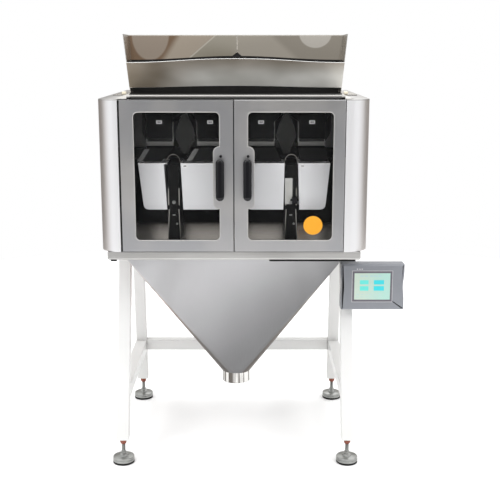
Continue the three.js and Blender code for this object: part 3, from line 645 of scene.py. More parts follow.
# painted reflection: the leaves are darker and bluer towards the bottom
painted_door_low_reflection = 1 - door_steel.axis("Z").between(0.80, 0.89)
door_tone = door_steel.mix(door_haze.between(0.35, 0.65), (0.48, 0.485, 0.505), (0.62, 0.61, 0.605))
door_tone = door_steel.mix(painted_door_low_reflection * 0.5, door_tone, (0.40, 0.405, 0.43))
door_steel.feed(
    base_color=door_steel.mix(door_grain * 0.25, door_tone, (0.42, 0.41, 0.40)),
    roughness=0.26 + door_grain * 0.08 + door_smudge * 0.08,
)
door_steel.relief(door_grain, 0.00012, 0.5)
for side, _ in SIDES:
    node = f"door_{side}"
    leaf = round_edges(mesh_of(node), 1.3, 3)
    finished(leaf, node + "_frame", node + "_leaf", "brushed_steel", door_steel, node)

acrylic = Finish("clear_acrylic")
smears = acrylic.noise(7, detail=4)
acrylic.feed(
    base_color=acrylic.mix(smears, (0.10, 0.10, 0.11), (0.22, 0.23, 0.23)),
    roughness=0.02 + smears * 0.05,
    alpha=0.012 + smears * 0.02,
)
for side, _ in SIDES:
    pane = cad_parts[f"window_pane_{side}"]
    pane.data.materials.clear()
    pane.data.materials.append(acrylic.material)


def rounded_loop(corners, y, steps=6):
    """Points round a flat outline of square corners, given as (across, up, radius)."""
    loop = []
    for index, (x, z, radius) in enumerate(corners):
        corner = Vector((x, 0, z))
        before = Vector((corners[index - 1][0], 0, corners[index - 1][1])) - corner
        after_corner = corners[(index + 1) % len(corners)]
        after = Vector((after_corner[0], 0, after_corner[1])) - corner
        before.normalize()
        after.normalize()
        centre = corner + (before + after) * radius
        for step in range(steps + 1):
            swing = math.pi / 2 * step / steps
            spot = centre - (after * math.cos(swing) + before * math.sin(swing)) * radius
            loop.append(at(spot.x, y, spot.z))
    return loop


def wire(name, points, radius, body, slot, finish, cyclic=False):
    """A round wire or edge bead that runs through points, as a mesh."""
    line = bpy.data.curves.new(name + "_line", "CURVE")
    line.dimensions = "3D"
    line.bevel_depth = radius * MM
    line.bevel_resolution = 3
    line.use_fill_caps = True
    path = line.splines.new("POLY")
    path.points.add(len(points) - 1)
    for knot, point in zip(path.points, points):
        knot.co = (*point, 1)
    path.use_cyclic_u = cyclic
    holder = bpy.data.objects.new(name + "_line", line)
    shape = bmesh.new()
    solid_wire = bpy.data.meshes.new_from_object(holder)
    shape.from_mesh(solid_wire)
    bpy.data.objects.remove(holder)
    bpy.data.curves.remove(line)
    bpy.data.meshes.remove(solid_wire)
    bmesh.ops.remove_doubles(shape, verts=shape.verts, dist=0.01 * MM)
    return finished(shape, name, body, slot, finish, smooth=60)


# a fine bright bead follows the rim of each window and of its tab
WINDOW_RIM = (
    (42, 764, 14), (42, 861, 1), (61, 861, 17), (61, 1048, 17),
    (42, 1048, 1), (42, 1150, 14), (298, 1150, 14), (298, 764, 14),
)
for side, sign in SIDES:
    rim_line = rounded_loop([(sign * x, z, radius) for x, z, radius in WINDOW_RIM], -381.9)
    wire(f"window_rim_{side}", rim_line, 0.9, f"door_{side}_leaf", "brushed_steel", rail_tint, cyclic=True)

# the black edge seal also stands for the shade in the gap beside the left door
seal_and_gap_shade = bmesh.new()
add_block(seal_and_gap_shade, at(-342.6, -382.7, 729.5), at(-338.4, -371, 1185))
finished(round_edges(seal_and_gap_shade, 0.6, 2), "door_left_seal_and_shade", "door_left_leaf", "black_paint", rubber)

# ---- Window sticker ------------------------------------------------------------------------
# A plain amber vinyl disc with a raised edge, stuck in the lower corner of the right-hand pane.
# It moves with the door.
amber = Finish("amber_vinyl", coat_weight=0.3)
amber_grain = amber.noise(90, detail=3)
amber.feed(
    base_color=amber.mix(amber_grain, (0.74, 0.31, 0.006), (0.80, 0.35, 0.010)),
    roughness=0.38 + amber_grain * 0.12,
)
STICKER = ((0, 0.35), (27.6, 0.35), (28.2, 0.55), (29, 0.35), (29.2, 0), (0, 0))
sticker = add_screws(bmesh.new(), STICKER, [at(240, -369.9, 808)], (0, -1, 0))
finished(sticker, "window_sticker", "door_right_leaf", "clear_acrylic", amber, smooth=60)

# ---- Door handles --------------------------------------------------------------------------
# Moulded glossy black bow handles: a round-ended grip with two posts, screwed on from behind.
# One black screw shows on the door above each grip.
gloss_black = Finish("gloss_black_plastic", specular_ior_level=0.28)
scuffs = gloss_black.noise(120, detail=4)
gloss_black.feed(
    base_color=gloss_black.mix(scuffs, (0.003, 0.003, 0.004), (0.008, 0.008, 0.010)),
    roughness=0.05 + scuffs * 0.05,
)


def add_bar(bm, start, end, radius, sides=24, end_radius=None):
    """Adds a round bar, or a cone, between two points."""
    along = end - start
    far_radius = radius if end_radius is None else end_radius
    made = bmesh.ops.create_cone(bm, cap_ends=True, segments=sides, radius1=radius * MM,
                                 radius2=far_radius * MM, depth=along.length)["verts"]
    turned = along.to_track_quat("Z", "Y").to_matrix().to_4x4()
    bmesh.ops.transform(bm, matrix=Matrix.Translation((start + end) / 2) @ turned, verts=made)
    return made


GRIP_DEPTH = 15
for side, _ in SIDES:
    node = f"door_handle_{side}"
    low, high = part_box(node)
    middle_x = (low.x + high.x) / 2
    half_width = (high.x - low.x) / 2
    grip_y = low.y + GRIP_DEPTH / 2 * MM
    ends = [Vector((middle_x, grip_y, level)) for level in (low.z + half_width, high.z - half_width)]
    handle = bmesh.new()
    add_bar(handle, ends[0], ends[1], half_width / MM, 48)
    for end in ends:
        cap = bmesh.ops.create_uvsphere(handle, u_segments=48, v_segments=24, radius=half_width)
        bmesh.ops.translate(handle, vec=end, verts=cap["verts"])
    flatten = Matrix.Translation((0, grip_y, 0)) @ Matrix.Diagonal(
        (1, GRIP_DEPTH * MM / (2 * half_width), 1, 1)) @ Matrix.Translation((0, -grip_y, 0))
    bmesh.ops.transform(handle, matrix=flatten, verts=handle.verts)
    for end in ends:
        add_bar(handle, end, Vector((end.x, high.y, end.z)), 7.5, 28, 8.5)
    finished(handle, node + "_grip", f"door_{side}_leaf", "black_gloss_plastic", gloss_black, node)
    door_front = (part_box(f"door_{side}")[0].y - MIDDLE_Y) / MM
    over_grip = (middle_x - CENTRE_X) / MM + 2
    dot = add_screws(bmesh.new(), SCREW, [at(over_grip, door_front + 0.1, high.z / MM + 6.5)], (0, -1, 0))
    finished(dot, f"door_{side}_screw", f"door_{side}_leaf", "black_gloss_plastic", gloss_black)

# ---- Drive box and lower apron -------------------------------------------------------------
# A black sheet box behind the buckets holds the motors and boards; its black also stands for the shade deep
# in the bay. Under it an apron closes the bay down to the tray, with a rubber strip along its foot. The
# apron's colour is a painted reflection: bright and tan at the foot, dark at the top.
# the drive box's black also stands for the shade deep in the bay
finished(round_edges(mesh_of("drive_box"), 1.2, 2), "drive_box_sheet", "machine", "black_paint",
         black_paint, "drive_box")

apron_steel = Finish("apron_steel", metallic=0.85)
APRON_KICK = 17                   # the sheet leans: its foot stands ahead of its head
APRON_FOOT = 0.74                 # what lies below this height, in metres, is the foot
# painted reflection: the apron is bright and tan at its foot and dark at its top
apron_reflection_rise = apron_steel.axis("Z").between(0.715, 0.790)
apron_streak = apron_steel.noise(1.0, stretch=(9, 300, 500), detail=4)
painted_apron_reflection = apron_steel.mix(apron_reflection_rise, (1.0, 0.95, 0.88), (0.07, 0.06, 0.05))
apron_steel.feed(
    base_color=apron_steel.mix(apron_streak * 0.15, painted_apron_reflection, (0.30, 0.27, 0.24)),
    roughness=0.16 + apron_streak * 0.10,
)
apron = mesh_of("lower_apron")
apron_foot = [v for v in apron.verts if v.co.z < APRON_FOOT]
bmesh.ops.translate(apron, vec=(0, -APRON_KICK * MM, 0), verts=apron_foot)
finished(round_edges(apron, 0.5, 2), "lower_apron_sheet", "machine", "mirror_steel",
         apron_steel, "lower_apron")
APRON_SEAL = {"half": 330, "front": -113, "back": -110.2, "bottom": 708, "top": 715}
apron_seal = bmesh.new()
add_block(apron_seal, at(-APRON_SEAL["half"], APRON_SEAL["front"], APRON_SEAL["bottom"]),
          at(APRON_SEAL["half"], APRON_SEAL["back"], APRON_SEAL["top"]))
finished(round_edges(apron_seal, 0.6, 2), "lower_apron_seal", "machine", "black_paint", rubber)

# ---- Drive columns -------------------------------------------------------------------------
# A narrow black housing between each pair of buckets hides the levers that open their flaps.
# Bright guide strips edge it, a spring wire arches over its head, and the right-hand one has
# a light cover plate and a black adjusting knob.
spring_wire = steel("spring_wire", (0.20, 0.19, 0.17), (0.52, 0.50, 0.46), 0.30, (200, 200, 200))
plate_grey = mottled("plate_grey", (0.38, 0.38, 0.36), (0.52, 0.52, 0.50), 30, detail=3, roughness=0.45)
strip_steel = steel("strip_steel", (0.40, 0.39, 0.36), (0.72, 0.70, 0.66), 0.30, (300, 300, 6))
COLUMN_FRONT = -296.2
GUIDE = {"x": 16.4, "half": 1.4, "bottom": 858, "top": 912}
LEG_GUIDE = {"x": 15, "half": 1.2, "bottom": 742, "top": 846, "splay": 4.5}
ARCH = {"radius": 21, "rise": 26, "foot": 990, "y": -292, "steps": 16}

for side, _ in SIDES:
    node = f"drive_column_{side}"
    low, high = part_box(node)
    finished(round_edges(mesh_of(node), 1.6, 2), node + "_housing", "machine", "black_paint",
             black_paint, node)
    x = ((low.x + high.x) / 2 - CENTRE_X) / MM
    strips = bmesh.new()
    for edge in (-1, 1):
        for guide in (GUIDE, LEG_GUIDE):
            guide_x = x + edge * guide["x"]
            strip = add_block(strips, at(guide_x - guide["half"], COLUMN_FRONT - 1.2, guide["bottom"]),
                              at(guide_x + guide["half"], COLUMN_FRONT + 0.2, guide["top"]))
        strip_foot = [v for v in strip if v.co.z < (LEG_GUIDE["bottom"] + 1) * MM]
        bmesh.ops.translate(strips, vec=(edge * LEG_GUIDE["splay"] * MM, 0, 0), verts=strip_foot)
    finished(round_edges(strips, 0.4, 1), node + "_strips", "machine", "brushed_steel", strip_steel)
    turns = [math.pi * step / ARCH["steps"] for step in range(ARCH["steps"] + 1)]
    arch = [at(x + ARCH["radius"] * math.cos(turn), ARCH["y"], ARCH["foot"] + ARCH["rise"] * math.sin(turn))
            for turn in turns]
    wire(node + "_spring", arch, 0.8, "machine", "zinc_steel", spring_wire)
    lever = bmesh.new()
    add_block(lever, at(x - 5, COLUMN_FRONT - 2.5, 826), at(x + 4, COLUMN_FRONT + 0.2, 829.5))
    add_bar(lever, at(x, COLUMN_FRONT - 6, 868), at(x, COLUMN_FRONT + 0.2, 868), 5.5, 24)
    add_bar(lever, at(x + 9, COLUMN_FRONT - 4, 800), at(x + 9, COLUMN_FRONT + 0.2, 800), 3.5, 20)
    finished(round_edges(lever, 0.5, 2), node + "_levers", "machine", "zinc_steel", zinc)

COVER_PLATE = {"left": 156.5, "right": 180, "bottom": 862, "top": 943, "thickness": 2.6}
cover_plate = bmesh.new()
plate_front = COLUMN_FRONT - COVER_PLATE["thickness"]
add_block(cover_plate, at(COVER_PLATE["left"], plate_front, COVER_PLATE["bottom"]),
          at(COVER_PLATE["right"], COLUMN_FRONT + 0.1, COVER_PLATE["top"]))
finished(round_edges(cover_plate, 0.8, 2), "column_cover_plate", "machine", "satin_steel", plate_grey)

LOBED_KNOB = {"x": 186, "z": 876, "radius": 9, "lobes": 6, "circle": 9.5, "lobe_radius": 3.6}
knob = bmesh.new()
add_bar(knob, at(LOBED_KNOB["x"], COLUMN_FRONT - 14, LOBED_KNOB["z"]),
        at(LOBED_KNOB["x"], COLUMN_FRONT, LOBED_KNOB["z"]), LOBED_KNOB["radius"])
for lobe in range(LOBED_KNOB["lobes"]):
    swing = lobe * 2 * math.pi / LOBED_KNOB["lobes"]
    lobe_x = LOBED_KNOB["x"] + LOBED_KNOB["circle"] * math.cos(swing)
    lobe_z = LOBED_KNOB["z"] + LOBED_KNOB["circle"] * math.sin(swing)
    add_bar(knob, at(lobe_x, COLUMN_FRONT - 13, lobe_z), at(lobe_x, COLUMN_FRONT - 4, lobe_z),
            LOBED_KNOB["lobe_radius"], 16)
finished(round_edges(knob, 1.0, 2), "adjusting_knob", "machine", "black_gloss_plastic", gloss_black)

# ---- Weigh buckets and flaps ---------------------------------------------------------------
# Thin satin buckets, open at the top, with a folded lip, white as a painted highlight, and a flap for a
# floor. Each hangs on a load cell bar. Two of them carry a small white plate with two plain marks.
bucket_steel = Finish("bucket_steel", metallic=0.25)
bead_grain = bucket_steel.noise(520, detail=2)
bucket_haze = bucket_steel.noise(6, detail=3)
bucket_steel.feed(
    base_color=bucket_steel.mix(bucket_haze, (0.68, 0.685, 0.70), (0.78, 0.785, 0.80)),
    roughness=0.36 + bucket_haze * 0.14,
)
bucket_steel.relief(bead_grain, 0.0002, 0.25)
label_white = mottled("label_white", (0.80, 0.80, 0.80), (0.90, 0.90, 0.89), 200, roughness=0.5)
aluminium = steel("aluminium", (0.52, 0.53, 0.54), (0.68, 0.69, 0.70), 0.40, (30, 500, 500))

LOAD_CELL = {"half": 15, "y": -173, "depth": 25.2, "z": 896, "height": 24, "eye": 7}
cell_reach = Vector((LOAD_CELL["half"], LOAD_CELL["depth"] / 2, LOAD_CELL["height"] / 2)) * MM
for side, _ in SIDES:
    for rank in ("inner", "outer"):
        node = f"weigh_bucket_{rank}_{side}"
        low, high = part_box(node)
        finished(round_edges(mesh_of(node), 0.7, 2), node + "_body", "machine", "satin_steel",
                 bucket_steel, node)
        # the steel lip takes the white label finish as a painted highlight along its rim
        lip_height = high.z - 0.8 * MM
        lip_corners = [(low.x, low.y), (high.x, low.y), (high.x, high.y), (low.x, high.y)]
        wire(node + "_lip", [Vector((x, y, lip_height)) for x, y in lip_corners], 1.1, "machine",
             "satin_steel", label_white, cyclic=True)
        cell_middle = at(((low.x + high.x) / 2 - CENTRE_X) / MM, LOAD_CELL["y"], LOAD_CELL["z"])
        eye_reach = Vector((cell_reach.x + 0.4 * MM, 0, 0))
        cell = bmesh.new()
        add_block(cell, cell_middle - cell_reach, cell_middle + cell_reach)
        add_bar(cell, cell_middle - eye_reach, cell_middle + eye_reach, LOAD_CELL["eye"])
        finished(round_edges(cell, 0.8, 2), f"load_cell_{rank}_{side}", "machine", "satin_steel", aluminium)
        flap = f"discharge_flap_{rank}_{side}"
        finished(round_edges(mesh_of(flap), 0.4, 1, angle=50), flap + "_leaf", f"flap_{rank}_{side}",
                 "satin_steel", bucket_steel, flap)


def add_label(name, body, corner, form, ink):
    """Makes a small white plate, from its lower left front corner, and the two marks on it."""
    plate = bmesh.new()
    add_block(plate, corner, corner + Vector(form["size"]) * MM)
    finished(round_edges(plate, *form["rounding"]), name + "_label", body, "satin_steel", label_white)
    marks = bmesh.new()
    for across_plate in form["marks"]:
        mark_low = corner + Vector((across_plate, -0.2, form["mark_rise"])) * MM
        add_block(marks, mark_low, mark_low + Vector(form["mark_size"]) * MM)
    finished(marks, name + "_marks", body, "satin_steel", ink)


BUCKET_LABEL = {
    "size": (15, 0.8, 9), "rounding": (0.3, 1), "marks": (3.5, 8.5), "mark_rise": 2.4,
    "mark_size": (3, 0.4, 4.2),
}
for node in ("weigh_bucket_inner_left", "weigh_bucket_outer_right"):
    low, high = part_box(node)
    corner = Vector((low.x + 6 * MM, low.y - 0.8 * MM, high.z - 13 * MM))
    add_label(node, "machine", corner, BUCKET_LABEL, rubber)

# ---- Feeder lanes --------------------------------------------------------------------------
# Each pan rides on two raked leaf springs over a magnet coil, which shake it forward. A black
# gate hangs in its mouth and evens the layer of product.
pan_steel = Finish("pan_steel", metallic=0.5)
pan_grain = pan_steel.noise(1.0, stretch=(300, 5, 300), detail=4)
# painted shade: the pan floor behind the lip is near black
painted_shade_behind_lip = pan_steel.axis("Y").between(MIDDLE_Y - 0.2365, MIDDLE_Y - 0.2335)
lip_tone = pan_steel.mix(pan_grain, (0.30, 0.30, 0.29), (0.52, 0.52, 0.50))
pan_steel.feed(
    base_color=pan_steel.mix(painted_shade_behind_lip, lip_tone, (0.016, 0.016, 0.015)),
    roughness=0.30 + pan_grain * 0.14,
)
edge_and_mark_grey = mottled("edge_and_mark_grey", (0.07, 0.07, 0.07), (0.17, 0.17, 0.165), 120, detail=4, roughness=0.5)
fibreglass = mottled("fibreglass", (0.10, 0.13, 0.06), (0.22, 0.24, 0.12), 1.0, stretch=(400, 40, 8),
                     roughness=0.5)
coil_tape = mottled("coil_tape", (0.20, 0.08, 0.03), (0.36, 0.16, 0.06), 1.0, stretch=(20, 20, 700),
                    roughness=0.5)
GATE_LABEL = {
    "size": (18, 1.2, 11), "rounding": (0.4, 2), "marks": (4.5, 10), "mark_rise": 3,
    "mark_size": (3.5, 0.4, 5),
}
GATE_SHEET_FRONT = 7.0            # the gate's face, ahead of the back of its sleeve
for lane in (1, 2, 3, 4):
    pan = f"feeder_pan_{lane}"
    finished(round_edges(mesh_of(pan), 0.7, 2), pan + "_tray", f"pan_{lane}", "satin_steel", pan_steel, pan)

    gate = f"pan_gate_{lane}"
    finished(round_edges(mesh_of(gate), 0.8, 2, angle=50), gate + "_leaf", f"gate_{lane}",
             "black_paint", black_paint, gate)
    gate_low, gate_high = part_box(gate)
    gate_middle = (gate_low.x + gate_high.x) / 2
    corner = Vector((gate_middle - 9 * MM, gate_high.y - (GATE_SHEET_FRONT + 1.6) * MM, gate_low.z + 46 * MM))
    add_label(gate, f"gate_{lane}", corner, GATE_LABEL, edge_and_mark_grey)

    # a base plate and an armature, with the coil between them and a leaf spring at each end
    shaker = f"vibrator_{lane}"
    low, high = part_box(shaker)
    width = (high.x - low.x) / MM
    length = (high.y - low.y) / MM
    base = bmesh.new()
    add_block(base, low, low + Vector((width, length, 14)) * MM)
    add_block(base, low + Vector((12, 30, 48)) * MM, low + Vector((width - 12, length - 30, 60)) * MM)
    finished(round_edges(base, 1.5, 2), shaker + "_base", "machine", "black_paint", black_paint, shaker)
    coil = bmesh.new()
    coil_foot = low + Vector((width / 2, length / 2, 14)) * MM
    add_bar(coil, coil_foot, coil_foot + Vector((0, 0, 32)) * MM, 22, 32)
    finished(round_edges(coil, 1.5, 2), shaker + "_coil", "machine", "black_paint", coil_tape)
    springs = bmesh.new()
    for spring_y in (6, length - 26):
        leaf = add_block(springs, low + Vector((8, spring_y, 14)) * MM,
                         low + Vector((width - 8, spring_y + 4, 58)) * MM)
        leaf_top = [v for v in leaf if v.co.z > low.z + 40 * MM]
        bmesh.ops.translate(springs, vec=(0, 12 * MM, 0), verts=leaf_top)
    finished(round_edges(springs, 0.6, 1), shaker + "_springs", "machine", "black_paint", fibreglass)

# ---- Gate beam, dividers and chutes --------------------------------------------------------
# A black beam across the cabinet carries the gates and three pointed dark dividers. The
# chutes below lead each lane to its bucket; they are steel given black paint as painted shade, and two of
# them show a lighter grey leaning edge.
divider_grey = Finish("divider_grey", metallic=0.6)
divider_cloud = divider_grey.noise(9, detail=3)
divider_grey.feed(
    base_color=divider_grey.mix(divider_cloud, (0.018, 0.018, 0.017), (0.040, 0.040, 0.037)),
    roughness=0.36 + divider_cloud * 0.14,
)
finished(round_edges(mesh_of("gate_beam"), 0.8, 2), "gate_beam_sheet", "machine", "black_paint",
         divider_grey, "gate_beam", smooth=30)
# the steel chute block takes black paint as painted shade of the dark bay
finished(round_edges(mesh_of("chute_block"), 0.5, 1), "chute_block_sheet", "machine", "satin_steel",
         black_paint, "chute_block", smooth=30)
# lighter grey leaning strips on the edges of two chutes
GREY_EDGE = {"half": 8, "front": -294.4, "back": -293, "bottom": 995, "top": 1031}
GREY_EDGE_LEAN = Vector((22, 15.5, 0))     # from the foot of the edge to its top
for name, x in (("chute_edge_1", -291), ("chute_edge_2", -139)):
    grey_edge = bmesh.new()
    strip = add_block(grey_edge, at(x - GREY_EDGE["half"], GREY_EDGE["front"], GREY_EDGE["bottom"]),
                      at(x + GREY_EDGE["half"], GREY_EDGE["back"], GREY_EDGE["top"]))
    strip_top = [v for v in strip if v.co.z > (GREY_EDGE["top"] - 1) * MM]
    bmesh.ops.translate(grey_edge, vec=GREY_EDGE_LEAN * MM, verts=strip_top)
    finished(round_edges(grey_edge, 0.4, 1), name, "machine", "brushed_steel", edge_and_mark_grey)

# ---- Feed hopper ---------------------------------------------------------------------------
# The trough on the roof: side walls and a lower back of satin sheet, two mirror-polished
# upper back panels that meet at a seam, and a low arched front wall with a rolled edge.
mirror_steel = Finish("mirror_steel", metallic=1.0)
mirror_x = mirror_steel.axis("X") - CENTRE_X
mirror_z = mirror_steel.axis("Z")
swirl = mirror_steel.noise(2.6, stretch=(1.0, 1.0, 1.6), detail=1.0)
fine_swirl = mirror_steel.noise(12, detail=2)


def outside_oval(x, z, half_width, half_height, blur=0.05):
    """0 inside an oval of painted reflection on the mirror and 1 outside it, with a soft rim."""
    across_share = (mirror_x - x) / half_width
    rise_share = (mirror_z - z) / half_height
    reach = across_share * across_share + rise_share * rise_share
    return reach.between(1 - 2 * blur, 1 + 2 * blur)


# painted reflection: tan, greenish and dark patches, soft ovals and slanted lines stand for what the polished
# panels mirror
painted_olive_reflection = mirror_steel.mix(swirl.between(0.35, 0.65), (0.27, 0.245, 0.19), (0.40, 0.37, 0.31))
slant = mirror_x + (1.379 - mirror_z) * 1.17 + 0.068
beside_slant = slant.between(-0.012, 0.004)
left_oval = outside_oval(-0.295, 1.385, 0.064, 0.088)
left_painted_reflection = mirror_steel.mix(left_oval, (0.36, 0.30, 0.245), (0.22, 0.15, 0.10))
tan_edge = mirror_x + (1.379 - mirror_z) * 0.67 + swirl * 0.04
left_painted_reflection = mirror_steel.mix(tan_edge.between(-0.195, -0.160), left_painted_reflection, (0.44, 0.38, 0.31))
left_painted_reflection = mirror_steel.mix(beside_slant, left_painted_reflection, painted_olive_reflection)
slant_line = 1 - abs(slant + 0.004).between(0.001, 0.006)
left_painted_reflection = mirror_steel.mix(slant_line * 0.6, left_painted_reflection, (0.62, 0.59, 0.52))
right_oval = outside_oval(0.274, 1.388, 0.056, 0.050)
right_painted_reflection = mirror_steel.mix(right_oval, (0.55, 0.52, 0.47), (0.33, 0.30, 0.255))
right_slant = mirror_x - (1.379 - mirror_z) * 1.1 - 0.125
right_painted_reflection = mirror_steel.mix(right_slant.between(-0.02, 0.02), (0.42, 0.385, 0.33), right_painted_reflection)
mirror_steel.feed(
    base_color=mirror_steel.mix(mirror_x.between(-0.02, 0.02), left_painted_reflection, right_painted_reflection),
    roughness=0.09 + fine_swirl * 0.05,
)
mirror_steel.relief(swirl, 0.004, 0.5)
feed_steel = steel("feed_steel", (0.42, 0.40, 0.37), (0.60, 0.58, 0.55), 0.26, (5, 300, 500))
finished(round_edges(mesh_of("feed_hopper"), 0.7, 2), "feed_hopper_walls", "machine", "mirror_steel",
         feed_steel, "feed_hopper")

# outer faces of the trough's walls at its foot and top: heights, half widths, and depths
TROUGH_FOOT = {"z": 1165, "half": 354.8, "rear": 82, "front": 35}
TROUGH_TOP = {"z": 1382, "half": 371.5, "rear": 140, "front": -10}
TROUGH_WALL = 2.6
SEAM_X = 4.0


def trough_at(key, z):
    """A half width or depth of the trough at a height."""
    share = (z - TROUGH_FOOT["z"]) / (TROUGH_TOP["z"] - TROUGH_FOOT["z"])
    return TROUGH_FOOT[key] + share * (TROUGH_TOP[key] - TROUGH_FOOT[key])


def on_back_wall(x, z, proud):
    """A point on the inner face of the rear wall, or standing proud of it."""
    return at(x, trough_at("rear", z) - TROUGH_WALL - proud, z)


def half_width_at(z):
    """Half the inner width of the trough at a height, clear of the side walls."""
    return trough_at("half", z) - 3.2


def panel_foot(x):
    """Height of the lower edge of the mirror panels: level at the ends and arched between."""
    ends, crown, level_from = 1298.0, 1311.0, 346.0
    return ends + (crown - ends) * (0.5 + 0.5 * math.cos(math.pi * min(abs(x) / level_from, 1)))


def add_plate(bm, outline, thickness):
    """Adds a flat plate: an outline of points, pushed along by a vector."""
    face = bm.faces.new([bm.verts.new(point) for point in outline])
    grown = bmesh.ops.extrude_face_region(bm, geom=[face])
    far = [v for v in grown["geom"] if isinstance(v, bmesh.types.BMVert)]
    bmesh.ops.translate(bm, vec=thickness, verts=far)
    bmesh.ops.recalc_face_normals(bm, faces=bm.faces)
    return bm


PANEL_TOP = 1379.5
PANEL_STEPS = 24
CORNER = 12                       # radius of the lower corners beside the seam
for side, sign in SIDES:
    start_x = SEAM_X + sign * 0.9
    end_x = sign * half_width_at(1300)
    outline = []
    for step in range(PANEL_STEPS + 1):
        x = start_x + (end_x - start_x) * step / PANEL_STEPS
        from_seam = abs(x - start_x)
        corner_lift = CORNER - math.sqrt(CORNER ** 2 - max(CORNER - from_seam, 0) ** 2)
        outline.append((x, panel_foot(x) + corner_lift))
    outline += [(sign * half_width_at(PANEL_TOP), PANEL_TOP), (start_x, PANEL_TOP)]
    sheet = add_plate(bmesh.new(), [on_back_wall(x, z, 1.6) for x, z in outline], (0, 1.2 * MM, 0))
    finished(round_edges(sheet, 0.35, 2, angle=60), f"mirror_panel_{side}", "machine", "mirror_steel",
             mirror_steel)

# a black rubber-finished sheet stands for the deep shadow between the panels and the front wall: painted
# shade
SHADE_SHEET_FOOT = 1168
SHADE_SHEET_TOP = 1330
shade_sheet_corners = [on_back_wall(sign * half_width_at(z), z, 0.2) for sign, z in
                 ((-1, SHADE_SHEET_FOOT), (1, SHADE_SHEET_FOOT), (1, SHADE_SHEET_TOP), (-1, SHADE_SHEET_TOP))]
shade_sheet = add_plate(bmesh.new(), shade_sheet_corners, (0, -0.8 * MM, 0))
finished(shade_sheet, "trough_shade_sheet", "machine", "black_paint", rubber)

front_steel = Finish("front_wall_steel", metallic=0.35)
front_height = front_steel.axis("Z")
left_of_middle = CENTRE_X - front_steel.axis("X")
front_scratch = front_steel.noise(1.0, stretch=(6, 300, 700), detail=4)
front_haze = front_steel.noise(5, stretch=(1, 1, 2), detail=2)
# painted reflection: the wall is bright low on the right, and tan and dark on the left and near its top
painted_warm_reflection = front_steel.mix(front_haze.between(0.3, 0.7), (0.24, 0.20, 0.15), (0.40, 0.35, 0.29))
painted_bright_reflection = front_steel.mix(front_haze.between(0.3, 0.7), (0.64, 0.63, 0.58), (0.92, 0.91, 0.86))
painted_front_reflection = front_steel.mix(left_of_middle.between(0.08, 0.29), painted_bright_reflection, painted_warm_reflection)
front_steel.feed(
    base_color=front_steel.mix(front_height.between(1.235, 1.300) * 0.9, painted_front_reflection, painted_warm_reflection),
    roughness=0.24 + front_scratch * 0.14,
)
front_steel.relief(front_scratch, 0.0002, 0.4)
finished(round_edges(mesh_of("hopper_front_wall"), 0.7, 2), "hopper_front_sheet", "machine",
         "brushed_steel", front_steel, "hopper_front_wall", smooth=30)


def on_front_wall(x, z, proud):
    """A point on the outer face of the sloping front wall."""
    return at(x, trough_at("front", z) - proud, z)


ARCH_REACH = 381.5                # from the crown of the arch to where its curve ends
ARCH_STEPS = 48


def arch_height(x, ends, crown):
    """Height of the arched edge at x, found by halving along one side's curve."""
    early, late = 0.0, 1.0
    for _ in range(24):
        t = (early + late) / 2
        run = 3 * (1 - t) ** 2 * t * 0.45 + 3 * (1 - t) * t ** 2 * 0.55 + t ** 3
        if run < abs(x) / ARCH_REACH:
            early = t
        else:
            late = t
    rise = (1 - t) ** 3 + 3 * (1 - t) ** 2 * t
    return ends + (crown - ends) * rise


for name, ends, crown, half_length, radius in (
    ("hopper_front_rim", 1289, 1302, 363.5, 1.2),
    ("hopper_front_hem", 1207, 1213, 357.5, 1.0),
):
    edge_x = [half_length * (2 * step / ARCH_STEPS - 1) for step in range(ARCH_STEPS + 1)]
    edge_line = [on_front_wall(x, arch_height(x, ends, crown), -radius) for x in edge_x]
    wire(name, edge_line, radius, "machine", "brushed_steel", rail_steel)

top_half = TROUGH_TOP["half"]
top_edge = [at(x, y, 1381) for x, y in ((-top_half, -8), (-top_half, 139), (top_half, 139), (top_half, -8))]
wire("feed_hopper_rim", top_edge, 1.2, "machine", "mirror_steel", rail_tint)

# ---- Thumb knobs ---------------------------------------------------------------------------
# Two turned cream plastic knobs clamp the foot plates of the trough to the tops of the side
# panels.
cream = mottled("cream_plastic", (0.66, 0.60, 0.46), (0.80, 0.75, 0.62), 150, roughness=0.45)
KNOB = ((0, 9.5), (4.6, 9.3), (6.6, 8.2), (7.4, 6.4), (7.4, 2.6), (6.6, 1.2), (4.4, 0.6), (4.4, 0), (0, 0))
KNOB_SPOT = {"across": 358, "y": -112, "z": 1190.1}
for side, sign in SIDES:
    thumb = add_spun(bmesh.new(), at(sign * KNOB_SPOT["across"], KNOB_SPOT["y"], KNOB_SPOT["z"]), KNOB, 40)
    finished(thumb, f"thumb_knob_{side}", "machine", "grey_plastic", cream)

# ---- Touch panel and bracket ---------------------------------------------------------------
# A grey moulded housing with waisted sides and a chamfered front stands off the right front
# leg on a painted arm. Its screen shows four plain value fields, with no lettering.
grey_plastic = Finish("grey_plastic", roughness=0.5)
mould_cloud = grey_plastic.noise(10, detail=3)
grey_plastic.feed(
    base_color=grey_plastic.mix(mould_cloud, (0.185, 0.195, 0.215), (0.235, 0.245, 0.270)),
    roughness=0.42 + mould_cloud * 0.12,
)
grey_plastic.relief(grey_plastic.noise(1400), 0.0002, 0.4)
panel_low, panel_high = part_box("touch_panel")
panel_middle = (panel_low + panel_high) / 2
half_across = (panel_high.x - panel_low.x) / 2
half_up = (panel_high.z - panel_low.z) / 2
WAIST = 3.6
WAIST_SHARE = 0.62                # part of the height that the waist takes up
WAIST_STEPS = 16
CHAMFER = {"width": 6.5, "depth": 5}
outline = []
for sign in (1, -1):
    for step in range(WAIST_STEPS + 1):
        rise = 1 - 2 * step / WAIST_STEPS
        pull = WAIST * MM * (0.5 + 0.5 * math.cos(math.pi * min(abs(rise) / WAIST_SHARE, 1)))
        outline.append(Vector((panel_middle.x + sign * (half_across - pull), panel_low.y,
                               panel_middle.z + sign * -rise * half_up)))
